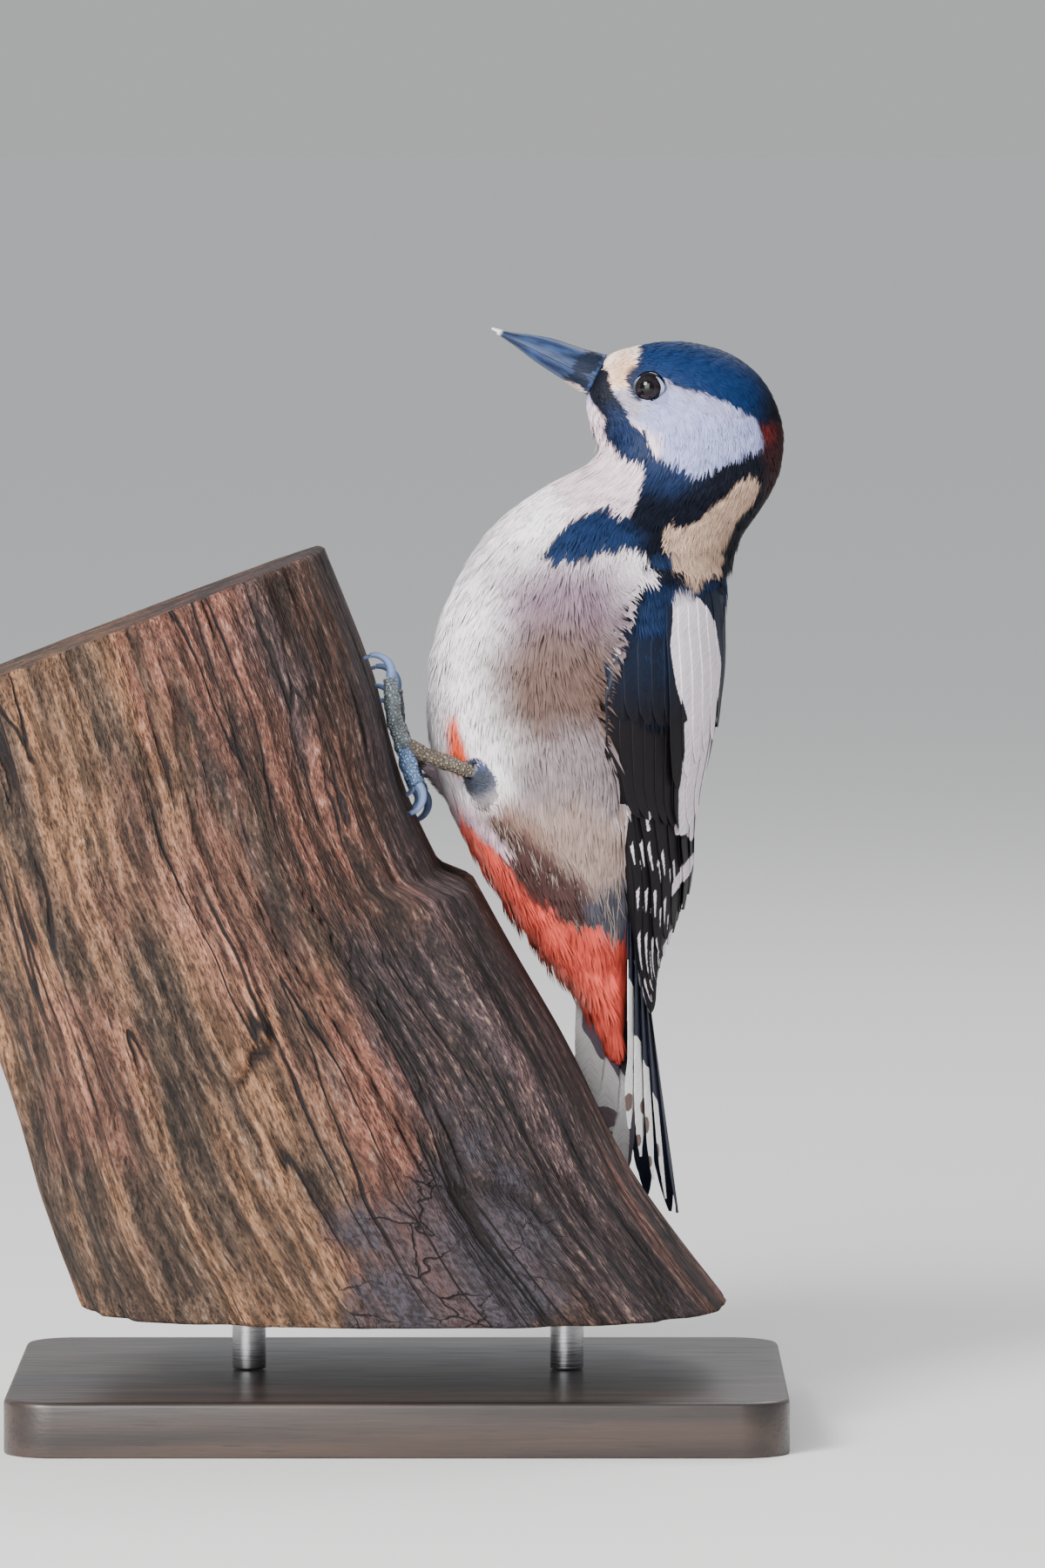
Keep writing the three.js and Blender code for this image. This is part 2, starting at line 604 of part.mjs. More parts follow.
/** The bare shank, from the heel to the toes' joint. */
function shank(name, grow = 0) {
  const { joint } = footFrame(name);
  const from = heel(SIDES[name]);
  const start = from.clone().addScaledVector(joint.clone().sub(from).normalize(), -grow);
  const radii = TARSUS_RADII.map((radius) => radius + grow);
  return rod([start, start.clone().lerp(joint, 0.5), joint], radii, 8, 4);
}

/** The feathered thigh, from inside the flank to the heel, notched for the shank. */
function thighSolid(name, torso) {
  const top = birdPoint(THIGH_TOP[0], SIDES[name] * LEG_SIDE, THIGH_TOP[1]);
  const end = heel(SIDES[name]);
  const flesh = rod([top, top.clone().lerp(end, 0.5), end], THIGH_RADII, 12, 6);
  return largest(flesh.subtract(torso).subtract(shank(name, GAP + 0.1)));
}

/** The shank and its four toes, two up and two down the bark. */
function footSolid(name, torso, bark) {
  const { joint } = footFrame(name);
  const knuckle = solid(new THREE.SphereGeometry(KNUCKLE, 8, 6).translate(joint.x, joint.y, joint.z));
  const toes = Object.keys(TOES).map((toe) => rod(toePoints(name, toe), TOES[toe].radii, 8, 4));
  return largest(join([shank(name), knuckle, ...toes]).subtract(torso).subtract(bark));
}

/** A claw: an arc from the toe's end, over and back into the bark. */
function clawSolid(name, toe, bark) {
  const { off } = footFrame(name);
  const [before, end] = toePoints(name, toe).slice(-2);
  const toeWay = end.clone().sub(before).normalize();
  const start = end.clone().addScaledVector(toeWay, CLAW_GAP);
  const way = toeWay.clone().addScaledVector(off, -0.6 * toeWay.dot(off)).normalize();
  const radius = CLAWS[toe];
  const points = count(7).map((i) => {
    const angle = radians(CLAW_START + (CLAW_TURN * i) / 6);
    const along = radius * (Math.sin(angle) - Math.sin(radians(CLAW_START)));
    const into = radius * (Math.cos(radians(CLAW_START)) - Math.cos(angle));
    return start.clone().addScaledVector(way, along).addScaledVector(off, -into);
  });
  const root = TOES[toe].radii.at(-1) * 0.86;
  return largest(rod(points, [root, root * 0.78, root * 0.55, 0.22], 6, 7).subtract(bark));
}

// ---- Stand -----------------------------------------------------------------------------------------

function baseSolid() {
  const { length, depth, height, corner, bevel } = BASE;
  const [x, y] = [length / 2 - bevel, depth / 2 - bevel];
  const outline = new THREE.Shape()
    .moveTo(-x + corner, -y)
    .lineTo(x - corner, -y)
    .absarc(x - corner, -y + corner, corner, -Math.PI / 2, 0)
    .lineTo(x, y - corner)
    .absarc(x - corner, y - corner, corner, 0, Math.PI / 2)
    .lineTo(-x + corner, y)
    .absarc(-x + corner, y - corner, corner, Math.PI / 2, Math.PI)
    .lineTo(-x, -y + corner)
    .absarc(-x + corner, -y + corner, corner, Math.PI, 1.5 * Math.PI);
  const slab = new THREE.ExtrudeGeometry(outline, {
    depth: height - 2 * bevel,
    bevelThickness: bevel,
    bevelSize: bevel,
    bevelSegments: 1,
    curveSegments: 6,
  });
  return solid(slab.translate(0, 0, bevel));
}

function rodSolid([x, y]) {
  const from = BASE.height + GAP;
  const to = PERCH_RINGS[0][1] - GAP;
  const shape = new THREE.CylinderGeometry(ROD_RADIUS, ROD_RADIUS, to - from, 24).rotateX(Math.PI / 2);
  return solid(shape.translate(x, y, (from + to) / 2));
}

// ---- Assembly --------------------------------------------------------------------------------------

const finish = (color, roughness, metalness = 0) =>
  new THREE.MeshStandardMaterial({ color, roughness, metalness });
const FINISHES = {
  black: finish(0x16161c, 0.55),
  white: finish(0xe6e0dc, 0.8),
  bill: finish(0x2b3038, 0.35),
  eye: finish(0x2a1418, 0.08),
  skin: finish(0x6d7680, 0.6),
  claw: finish(0x56616e, 0.4),
  wood: finish(0x7d6557, 0.9),
  base: finish(0x2c2623, 0.45),
  metal: finish(0xb8b9bb, 0.3, 1),
};

const model = new THREE.Group();

function add(name, made, material) {
  const mesh = new THREE.Mesh(geometryOf(made), material);
  mesh.name = name;
  model.add(mesh);
}

const torso = bodyStretch(TORSO_ENDS, 20);
const torsoRoom = bodyStretch(TORSO_ENDS, 20, GAP + 0.1);
const bark = perchSolid(GAP);

add("head", headSolid(), FINISHES.black);
add("neck", bodyStretch(NECK_ENDS, 5), FINISHES.black);
add("torso", torso, FINISHES.white);
add("bill_upper", upperBill(), FINISHES.bill);
add("bill_lower", lowerBill(), FINISHES.bill);
const wingRoom = Object.values(SIDES).map((side) => wingSolid(side, torsoRoom, GAP));
add("tail", tailSolid(torsoRoom, bark, wingRoom), FINISHES.black);
for (const [name, side] of Object.entries(SIDES)) {
  add(`eye_${name}`, eyeball(side), FINISHES.eye);
  add(`wing_${name}`, wingSolid(side, torsoRoom), FINISHES.black);
  add(`thigh_${name}`, thighSolid(name, torsoRoom), FINISHES.white);
  add(`foot_${name}`, footSolid(name, torsoRoom, bark), FINISHES.skin);
  for (const toe of Object.keys(TOES)) add(`claw_${name}_${toe}`, clawSolid(name, toe, bark), FINISHES.claw);
}
add("perch", perchSolid(), FINISHES.wood);
add("stand_base", baseSolid(), FINISHES.base);
ROD_PLACES.forEach((place, i) => add(`stand_rod_${i + 1}`, rodSolid(place), FINISHES.metal));

export default model;
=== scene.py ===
"""A great spotted woodpecker, life size, clinging to a cut length of weathered trunk on a display stand.

Tables and formulas are in millimetres and degrees, in the frame's own axes: +Z is up, the origin is the
middle of the base's underside, and the bird hangs on the trunk's +X side with its left side towards -Y.
Meshes are in metres. A surface is worked out from two numbers, u along the lie of its feathers or grain
and v across it.
"""
import logging
import math
from collections.abc import Callable
from dataclasses import dataclass, field
from enum import Enum

import bpy
import numpy as np
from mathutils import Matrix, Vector


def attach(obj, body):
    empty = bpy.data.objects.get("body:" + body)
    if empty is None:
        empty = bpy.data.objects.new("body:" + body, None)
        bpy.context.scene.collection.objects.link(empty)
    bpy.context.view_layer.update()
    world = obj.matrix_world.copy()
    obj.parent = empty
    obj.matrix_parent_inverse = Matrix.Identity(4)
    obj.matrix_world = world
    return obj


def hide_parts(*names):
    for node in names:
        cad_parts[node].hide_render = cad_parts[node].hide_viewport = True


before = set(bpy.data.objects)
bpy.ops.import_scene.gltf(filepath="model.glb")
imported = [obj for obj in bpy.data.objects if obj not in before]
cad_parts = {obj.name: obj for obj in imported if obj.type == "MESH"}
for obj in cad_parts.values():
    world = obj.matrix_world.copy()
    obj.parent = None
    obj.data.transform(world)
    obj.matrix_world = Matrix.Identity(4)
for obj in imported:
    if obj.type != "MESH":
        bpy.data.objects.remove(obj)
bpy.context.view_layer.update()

Array = np.ndarray
Generator = np.random.Generator
Material = bpy.types.Material
Socket = bpy.types.NodeSocket
Triple = tuple[float, float, float]
Outline = tuple[tuple[float, float], ...]
LOG = logging.getLogger("woodpecker")
MM = 0.001
SEED = 378


# ---- Mathematics -----------------------------------------------------------------------------------


def ramp(value: Array, low: float, high: float) -> Array:
    """A smooth step from 0 at low to 1 at high, which may be below low: t squared times 3 less 2 t."""
    t = np.clip((np.asarray(value, float) - low) / (high - low), 0.0, 1.0)
    return t * t * (3 - 2 * t)


def mix(a: Array, b: Array, share: Array) -> Array:
    """Straight blend: a where share is 0 and b where it is 1."""
    return a + (b - a) * share


def unit(vectors: Array) -> Array:
    """Vectors divided by their own lengths."""
    return vectors / np.maximum(np.linalg.norm(vectors, axis=-1, keepdims=True), 1e-12)


def spline(rows: Array, at: Array) -> Array:
    """Catmull-Rom curve through evenly spaced rows, with the end rows repeated.

    Args:
        rows: table of n rows of k numbers.
        at: row numbers to read it at, of any shape.

    Returns:
        The shape of at, with k numbers for each.
    """
    last = len(rows) - 1
    first = np.clip(np.floor(at).astype(int), 0, last - 1)
    f = (at - first)[..., None]
    a, b, c, d = (rows[np.clip(first + k, 0, last)] for k in (-1, 0, 1, 2))
    return b + 0.5 * f * (c - a + f * (2 * a - 5 * b + 4 * c - d + f * (3 * (b - c) + d - a)))


def noise(points: Array, seed: int = 0) -> Array:
    """Smooth noise: a drawn number at each whole-number corner of space, blended by a quintic step.

    Args:
        points: places in space, three numbers each.
        seed: another number gives another noise.

    Returns:
        One number from -1 to 1 for each place.
    """
    cell = np.floor(points)
    f = points - cell
    f = f * f * f * (f * (f * 6 - 15) + 10)
    cell = cell.astype(np.int64)
    total = np.zeros(points.shape[:-1])
    for corner in np.ndindex(2, 2, 2):
        x, y, z = (cell[..., k] + corner[k] for k in range(3))
        drawn = (x * 73856093) ^ (y * 19349663) ^ (z * 83492791) ^ (seed * 2654435761)
        drawn = ((drawn ^ (drawn >> 13)) * 1274126177) & 0x7FFFFFFF
        drawn = ((drawn ^ (drawn >> 16)) * 668265263) & 0x7FFFFFFF
        share = np.prod(np.where(corner, f, 1 - f), axis=-1)
        total += share * (drawn / 0x3FFFFFFF - 1)
    return total


def turned(degrees: Array, back: Array, left: Array) -> tuple[Array, Array]:
    """X and Y parts of a step back and to the left of a bird turned by some degrees."""
    angle = np.radians(degrees)
    return back * np.cos(angle) + left * np.sin(angle), back * np.sin(angle) - left * np.cos(angle)


def linear(colour: int) -> Triple:
    """A colour written as 0xRRGGBB, as the three linear numbers of 0 to 1 that light is worked out in."""
    parts = [((colour >> shift) & 255) / 255 for shift in (16, 8, 0)]
    return tuple(p / 12.92 if p <= 0.04045 else ((p + 0.055) / 1.055) ** 2.4 for p in parts)


def rgb(colour: int) -> Array:
    """A colour written as 0xRRGGBB, as an array of its linear numbers."""
    return np.array(linear(colour))


def one_colour(colour: int, shape: tuple[int, ...]) -> Array:
    """The same colour for every point of a grid of that shape."""
    return np.broadcast_to(rgb(colour), (*shape, 3)).copy()


def circle(count: int, first: float = 0.0) -> Array:
    """Angles in radians, evenly spaced round a full turn from the first."""
    return np.linspace(first, first + 2 * np.pi, count, endpoint=False)


def run_along(path: Array) -> Array:
    """Length of a path from its start to each of its points: the running sum of its steps."""
    return np.concatenate([[0], np.cumsum(np.linalg.norm(np.diff(path, axis=0), axis=1))])


def squared(angle: Array) -> list[Array]:
    """Cosine and sine of an angle, each to the power of two thirds with its sign kept."""
    return [np.sign(w) * np.abs(w) ** (2 / 3) for w in (np.cos(angle), np.sin(angle))]


def inside(points: Array, outline: Array) -> Array:
    """Distance of places in a plane to an outline, positive inside it.

    The distance is the least one to the outline's straight sides, and its sign comes from how many of the
    sides a line to the right crosses.

    Args:
        points: places of two numbers each.
        outline: corners of two numbers each, going round.

    Returns:
        One distance for each place.
    """
    flat = points.reshape(-1, 2)
    best = np.full(len(flat), np.inf)
    crossed = np.zeros(len(flat), bool)
    for a, b in zip(outline, np.roll(outline, -1, axis=0)):
        side = b - a
        share = np.clip((flat - a) @ side / max(side @ side, 1e-9), 0, 1)
        best = np.minimum(best, np.linalg.norm(flat - a - share[:, None] * side, axis=1))
        spans = (a[1] > flat[:, 1]) != (b[1] > flat[:, 1])
        over = a[0] + (flat[:, 1] - a[1]) * side[0] / (side[1] if side[1] else 1e-9)
        crossed ^= spans & (flat[:, 0] < over)
    return np.where(crossed, best, -best).reshape(points.shape[:-1])


# ---- Shapes ----------------------------------------------------------------------------------------


@dataclass
class Shape:
    """Points in millimetres, the faces between them, and values that go with each point."""

    points: Array
    quads: Array = field(default_factory=lambda: np.zeros((0, 4), int))
    triangles: Array = field(default_factory=lambda: np.zeros((0, 3), int))
    values: dict[str, Array] = field(default_factory=dict)

    def facing_out(self) -> "Shape":
        """Turns every face round if the signed volume, a sum of triple products, is negative.

        Returns:
            The shape itself.
        """
        q = self.quads
        corners = np.concatenate([q[:, [0, 1, 2]], q[:, [0, 2, 3]], self.triangles])
        centred = self.points - self.points.mean(axis=0)
        a, b, c = (centred[corners[:, k]] for k in range(3))
        if np.einsum("ij,ij->", a, np.cross(b, c)) < 0:
            self.quads, self.triangles = q[:, ::-1], self.triangles[:, ::-1]
        return self

    @property
    def triangle_count(self) -> int:
        """Number of triangles once each quad is split."""
        return 2 * len(self.quads) + len(self.triangles)


def joined(shapes: list[Shape]) -> Shape:
    """Several shapes as one, with their points and values one after another.

    Args:
        shapes: shapes that all carry the same values.

    Returns:
        One shape with every face of them.
    """
    starts = np.cumsum([0] + [len(s.points) for s in shapes])
    return Shape(
        np.concatenate([s.points for s in shapes]),
        np.concatenate([s.quads + at for s, at in zip(shapes, starts)]),
        np.concatenate([s.triangles + at for s, at in zip(shapes, starts)]),
        {key: np.concatenate([s.values[key] for s in shapes]) for key in shapes[0].values},
    )


def grid_quads(rows: int, columns: int, wrap: bool) -> Array:
    """Corner numbers of the quads of a grid of points, with its last column joined to the first or not.

    Args:
        rows: points down the grid.
        columns: points across it.
        wrap: whether the last column joins the first.

    Returns:
        Four point numbers for each quad.
    """
    i, j = np.meshgrid(np.arange(rows - 1), np.arange(columns if wrap else columns - 1), indexing="ij")
    k = (j + 1) % columns
    corners = [i * columns + j, i * columns + k, (i + 1) * columns + k, (i + 1) * columns + j]
    return np.stack(corners, axis=-1).reshape(-1, 4)


def tube(rings: Array, values: dict[str, Array] | None = None) -> Shape:
    """A closed body through rings of points, each end closed by a fan to the ring's middle.

    Args:
        rings: m rings of k points.
        values: values of the same m by k points.

    Returns:
        The body, with the two middle points last.
    """
    m, k = rings.shape[:2]
    ends = (0, m - 1)
    middles = np.stack([rings[end].mean(axis=0) for end in ends])
    around = np.arange(k)
    after = (around + 1) % k
    first = np.stack([after, around, np.full(k, m * k)], axis=1)
    last = np.stack([(m - 1) * k + around, (m - 1) * k + after, np.full(k, m * k + 1)], axis=1)
    kept = {}
    for key, value in (values or {}).items():
        tail = np.stack([value[end].mean(axis=0) for end in ends])
        kept[key] = np.concatenate([value.reshape(m * k, *value.shape[2:]), tail])
    points = np.concatenate([rings.reshape(-1, 3), middles])
    return Shape(points, grid_quads(m, k, True), np.concatenate([first, last]), kept).facing_out()


def shell(top: Array, under: Array, values: dict[str, Array] | None = None) -> Shape:
    """A thin closed plate between two grids of points.

    Args:
        top: grid of m by n points of the upper face.
        under: the same grid of the lower face.
        values: values of the same m by n points, used on both faces.

    Returns:
        The plate with its rim closed.
    """
    m, n = top.shape[:2]
    face = grid_quads(m, n, False)
    number = np.arange(m * n).reshape(m, n)
    rim = np.concatenate([number[0, :-1], number[:-1, -1], number[-1, :0:-1], number[:0:-1, 0]])
    after = np.roll(rim, -1)
    walls = np.stack([after, rim, rim + m * n, after + m * n], axis=1)
    points = np.concatenate([top.reshape(-1, 3), under.reshape(-1, 3)])
    kept = {key: np.concatenate([v.reshape(m * n, *v.shape[2:])] * 2) for key, v in (values or {}).items()}
    return Shape(points, np.concatenate([face, face[:, ::-1] + m * n, walls]), values=kept).facing_out()


def sweep(path: Array, radius: Array, up: Array, sides: int, squash: float = 1.0) -> Array:
    """Rings of an oval section carried along a path.

    Each ring is the path's point plus cosine of an angle times the side way plus sine of it times the up
    way, both square to the path's own way.

    Args:
        path: m points.
        radius: m radii, or m by sides for a section that is not round.
        up: one direction, or m of them, that the sections' upper side faces.
        sides: points in each ring.
        squash: height of the section for its width.

    Returns:
        m rings of points.
    """
    way = unit(np.gradient(path, axis=0))
    across = unit(np.cross(way, np.broadcast_to(up, path.shape)))
    above = np.cross(across, way)
    angle = np.arange(sides) / sides * 2 * np.pi
    reach = radius if radius.ndim == 2 else np.repeat(radius[:, None], sides, axis=1)
    flat = (reach * np.cos(angle))[..., None] * across[:, None]
    return path[:, None] + flat + squash * (reach * np.sin(angle))[..., None] * above[:, None]


def mesh_object(name: str, shape: Shape, material: Material) -> bpy.types.Object:
    """Puts a shape into a mesh object at the origin.

    Args:
        name: the piece's name.
        shape: its faces; a value of two numbers becomes a UV map, "pigment" a colour attribute, "lie" the
            direction that each point is shaded in, and every other one an attribute of its own name.
        material: its finish.

    Returns:
        The new object, in the scene.
    """
    mesh = bpy.data.meshes.new(name)
    mesh.vertices.add(len(shape.points))
    mesh.vertices.foreach_set("co", (shape.points * MM).astype(np.float32).ravel())
    corners = np.concatenate([shape.quads.ravel(), shape.triangles.ravel()])
    sizes = np.repeat([4, 3], [len(shape.quads), len(shape.triangles)])
    mesh.loops.add(len(corners))
    mesh.loops.foreach_set("vertex_index", corners.astype(np.int32))
    mesh.polygons.add(len(sizes))
    mesh.polygons.foreach_set("loop_start", np.concatenate([[0], np.cumsum(sizes)[:-1]]).astype(np.int32))
    mesh.update(calc_edges=True)
    mesh.shade_smooth()
    for key, value in shape.values.items():
        if key == "lie":
            continue
        if key == "pigment":
            colours = np.concatenate([value, np.ones((len(value), 1))], axis=1)
            mesh.attributes.new(key, "FLOAT_COLOR", "POINT").data.foreach_set("color", colours.ravel())
        elif value.ndim == 2 and value.shape[1] == 2:
            mesh.uv_layers.new(name=key).uv.foreach_set("vector", value[corners].ravel())
        elif value.ndim == 2:
            mesh.attributes.new(key, "FLOAT_VECTOR", "POINT").data.foreach_set("vector", value.ravel())
        else:
            mesh.attributes.new(key, "FLOAT", "POINT").data.foreach_set("value", value)
    if "lie" in shape.values:
        mesh.normals_split_custom_set_from_vertices(unit(shape.values["lie"]))
    mesh.materials.append(material)
    piece = bpy.data.objects.new(name, mesh)
    bpy.context.scene.collection.objects.link(piece)
    return piece


class Slot(Enum):
    """The record's material slots."""

    HEAD = "head_plumage"
    NECK = "neck_plumage"
    BODY = "body_plumage"
    LEG = "leg_plumage"
    WING = "wing_feathers"
    TAIL = "tail_feathers"
    BILL = "bill_horn"
    CLAW = "claw_horn"
    EYE = "eye"
    FOOT = "foot_skin"
    BARK = "bare_wood"
    BASE = "stand_base"
    ROD = "stand_rod"


def place(name: str, shape: Shape, material: Material, slot: Slot, nodes: tuple[str, ...] = ()) -> None:
    """Makes a piece of the object, lets it ride with the frame, hides the frame's nodes that it replaces
    and logs its triangle count.

    Args:
        name: the piece's name.
        shape: its faces.
        material: its finish.
        slot: the record's slot of that finish; not used.
        nodes: the frame's nodes that it replaces, if any.
    """
    piece = mesh_object(name, shape, material)
    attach(piece, "root")
    if nodes:
        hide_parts(*nodes)
    LOG.info("%s: %d triangles", name, shape.triangle_count)


# ---- Finishes --------------------------------------------------------------------------------------


class Tree:
    """A tree of shader nodes, filled by short calls."""

    def __init__(self, tree: bpy.types.NodeTree) -> None:
        """Takes an empty or new tree."""
        self.tree = tree

    def add(self, kind: str, inputs: dict | None = None, **settings: object) -> bpy.types.Node:
        """Adds one node.

        Args:
            kind: the node's type.
            inputs: values or output sockets for its inputs, by name or number.
            settings: its own properties.

        Returns:
            The node.
        """
        made = self.tree.nodes.new(kind)
        for key, value in settings.items():
            setattr(made, key, value)
        for key, value in (inputs or {}).items():
            self.feed(made, key, value)
        return made

    def feed(self, node: bpy.types.Node, key: str | int, value: object) -> None:
        """Sets or links one input of a node; a colour of three numbers gets its fourth, 1.

        Args:
            node: the node.
            key: the input's name or number.
            value: a value or an output socket.
        """
        socket = node.inputs[key]
        if isinstance(value, Socket):
            self.tree.links.new(value, socket)
        else:
            socket.default_value = (*value, 1.0) if socket.type == "RGBA" and len(value) == 3 else value

    def maths(self, operation: str, *inputs: object) -> Socket:
        """The result of a maths node on numbers or sockets."""
        return self.add("ShaderNodeMath", dict(enumerate(inputs)), operation=operation).outputs[0]

    def vectors(self, operation: str, *inputs: object) -> Socket:
        """The result of a vector maths node on vectors or sockets."""
        return self.add("ShaderNodeVectorMath", dict(enumerate(inputs)), operation=operation).outputs[0]

    def carried(self, name: str, kind: str = "Fac") -> Socket:
        """What the piece carries at each point under a name: a number, a Vector or a Color."""
        return self.add("ShaderNodeAttribute", attribute_name=name).outputs[kind]

    def place(self) -> Socket:
        """The place in metres, in the frame's axes."""
        return self.add("ShaderNodeTexCoord").outputs["Object"]

    def steps(self, value: object, low: object, high: object, to: tuple[float, float] = (0, 1)) -> Socket:
        """A smooth step of a number from low to high, between the two values of to.

        Args:
            value: the number.
            low: where the step begins.
            high: where it ends.
            to: the result at low and at high.

        Returns:
            The result's socket.
        """
        names = {"Value": value, "From Min": low, "From Max": high, "To Min": to[0], "To Max": to[1]}
        made = self.add("ShaderNodeMapRange", names, interpolation_type="SMOOTHSTEP")
        return made.outputs["Result"]

    def blend(self, share: object, a: object, b: object, kind: str = "MIX") -> Socket:
        """Two colours mixed, by a share of 0 to 1 of the second."""
        made = self.add("ShaderNodeMix", {0: share, 6: a, 7: b}, data_type="RGBA", blend_type=kind)
        return made.outputs[2]

    def warped(self, where: object, scale: float, detail: float, reach: Triple) -> Socket:
        """Coordinates pushed on by a noise of three numbers times the reach, in metres."""
        push = self.add("ShaderNodeTexNoise", {"Vector": where, "Scale": scale, "Detail": detail})
        return self.vectors("ADD", where, self.vectors("MULTIPLY", push.outputs["Color"], reach))

    def use(self, effect: "Effect", *inputs: object) -> Socket:
        """The result of a shared effect on values or sockets, given in the order of its inputs."""
        return self.add("ShaderNodeGroup", dict(enumerate(inputs)), node_tree=effect.group()).outputs[0]

    def noise(self, where: object, stretch: object = (1, 1, 1), detail: object = 3) -> Socket:
        """Noise from 0 to 1, with so many waves to a metre along each axis."""
        return self.use(STRETCHED_NOISE, where, stretch, detail)

    def tones(self, value: object, low: float, high: float, first: object, second: object) -> Socket:
        """A colour that goes from the first to the second while a number goes from low to high."""
        return self.use(TWO_TONES, value, low, high, first, second)

    def tinted(self, colour: object, tint: object) -> Socket:
        """A colour made darker or paler, times a number."""
        return self.use(TINTED, colour, tint)

    def bump(self, height: object, distance: float) -> Socket:
        """The normal of a surface raised by height times distance, in metres."""
        return self.use(RELIEF, height, distance)


Given = bpy.types.bpy_prop_collection
VALUE, VECTOR, COLOUR = "NodeSocketFloat", "NodeSocketVector", "NodeSocketColor"


@dataclass(frozen=True)
class Effect:
    """An effect that several finishes share: a group of nodes with named inputs and one result."""

    name: str
    inputs: dict[str, str]
    result: str
    fill: Callable[[Tree, Given], Socket]

    def group(self) -> bpy.types.NodeTree:
        """The group of nodes, which is built the first time it is asked for.

        Returns:
            The one group of that name.
        """
        made = bpy.data.node_groups.get(self.name)
        if made is None:
            made = bpy.data.node_groups.new(self.name, "ShaderNodeTree")
            for key, kind in self.inputs.items():
                made.interface.new_socket(name=key, in_out="INPUT", socket_type=kind)
            made.interface.new_socket(name="Result", in_out="OUTPUT", socket_type=self.result)
            tree = Tree(made)
            tree.add("NodeGroupOutput", {"Result": self.fill(tree, tree.add("NodeGroupInput").outputs)})
        return made


def fill_noise(tree: Tree, given: Given) -> Socket:
    """Noise on coordinates times the stretch.

    Args:
        tree: the group's own tree.
        given: the group's inputs.

    Returns:
        The group's result.
    """
    moved = tree.vectors("MULTIPLY", given["Vector"], given["Stretch"])
    inputs = {"Vector": moved, "Scale": 1.0, "Detail": given["Detail"]}
    return tree.add("ShaderNodeTexNoise", inputs).outputs["Fac"]


def fill_tones(tree: Tree, given: Given) -> Socket:
    """Two colours mixed by a smooth step of the value."""
    share = tree.steps(given["Value"], given["Low"], given["High"])
    return tree.blend(share, given["First"], given["Second"])


def fill_tinted(tree: Tree, given: Given) -> Socket:
    """The colour times a grey of the tint."""
    grey = tree.add("ShaderNodeCombineColor", dict.fromkeys(range(3), given["Tint"])).outputs[0]
    return tree.blend(1.0, given["Colour"], grey, "MULTIPLY")


def fill_relief(tree: Tree, given: Given) -> Socket:
    """The normal that a bump of that height gives."""
    return tree.add("ShaderNodeBump", {"Height": given["Height"], "Distance": given["Distance"]}).outputs[0]


def fill_cells(tree: Tree, given: Given) -> Socket:
    """Distance to the nearest edge between cells grown round scattered seeds.

    Args:
        tree: the group's own tree.
        given: the group's inputs.

    Returns:
        The group's result.
    """
    moved = tree.vectors("MULTIPLY", given["Vector"], given["Stretch"])
    inputs = {"Vector": moved, "Scale": 1.0}
    return tree.add("ShaderNodeTexVoronoi", inputs, feature="DISTANCE_TO_EDGE").outputs["Distance"]


STRETCHED_NOISE = Effect(
    "stretched_noise", {"Vector": VECTOR, "Stretch": VECTOR, "Detail": VALUE}, VALUE, fill_noise
)
TWO_TONES = Effect(
    "two_tones", {"Value": VALUE, "Low": VALUE, "High": VALUE, "First": COLOUR, "Second": COLOUR},
    COLOUR, fill_tones,
)
TINTED = Effect("tinted", {"Colour": COLOUR, "Tint": VALUE}, COLOUR, fill_tinted)
RELIEF = Effect("relief", {"Height": VALUE, "Distance": VALUE}, VECTOR, fill_relief)
CELLS = Effect("cells", {"Vector": VECTOR, "Stretch": VECTOR}, VALUE, fill_cells)


def material(name: str, **settings: float) -> tuple[Material, Tree, bpy.types.Node]:
    """A new material, its tree and its main shader, with the shader's plain numbers set.

    Args:
        name: the finish's name.
        settings: the shader's inputs, with _ for each space.

    Returns:
        The material, its tree and the shader node.
    """
    made = bpy.data.materials.new(name)
    made.use_nodes = True
    shader = made.node_tree.nodes["Principled BSDF"]
    for key, value in settings.items():
        shader.inputs[key.replace("_", " ")].default_value = value
    return made, Tree(made.node_tree), shader


@dataclass(frozen=True)
class PlumageFinish:
    """Small feathers: their own pigment, a little uneven, duller and softer where it is pale."""

    name: str = "plumage"
    dark_roughness: float = 0.5
    pale_roughness: float = 0.85
    patches: float = 140.0
    unevenness: float = 0.05

    def build(self) -> Material:
        """The finish as a material.

        Returns:
            The material.
        """
        made, tree, shader = material(self.name, Specular_IOR_Level=0.14)
        pigment = tree.carried("pigment", "Color")
        uneven = tree.noise(tree.place(), (self.patches,) * 3, 2)
        tint = tree.steps(uneven, 0.3, 0.7, (1 - self.unevenness, 1 + self.unevenness / 2))
        tree.feed(shader, "Base Color", tree.tinted(pigment, tint))
        paleness = tree.add("ShaderNodeRGBToBW", {0: pigment}).outputs[0]
        rough = tree.steps(paleness, 0.02, 0.3, (self.dark_roughness, self.pale_roughness))
        tree.feed(shader, "Roughness", rough)
        return made


# ---- Head, neck and torso --------------------------------------------------------------------------


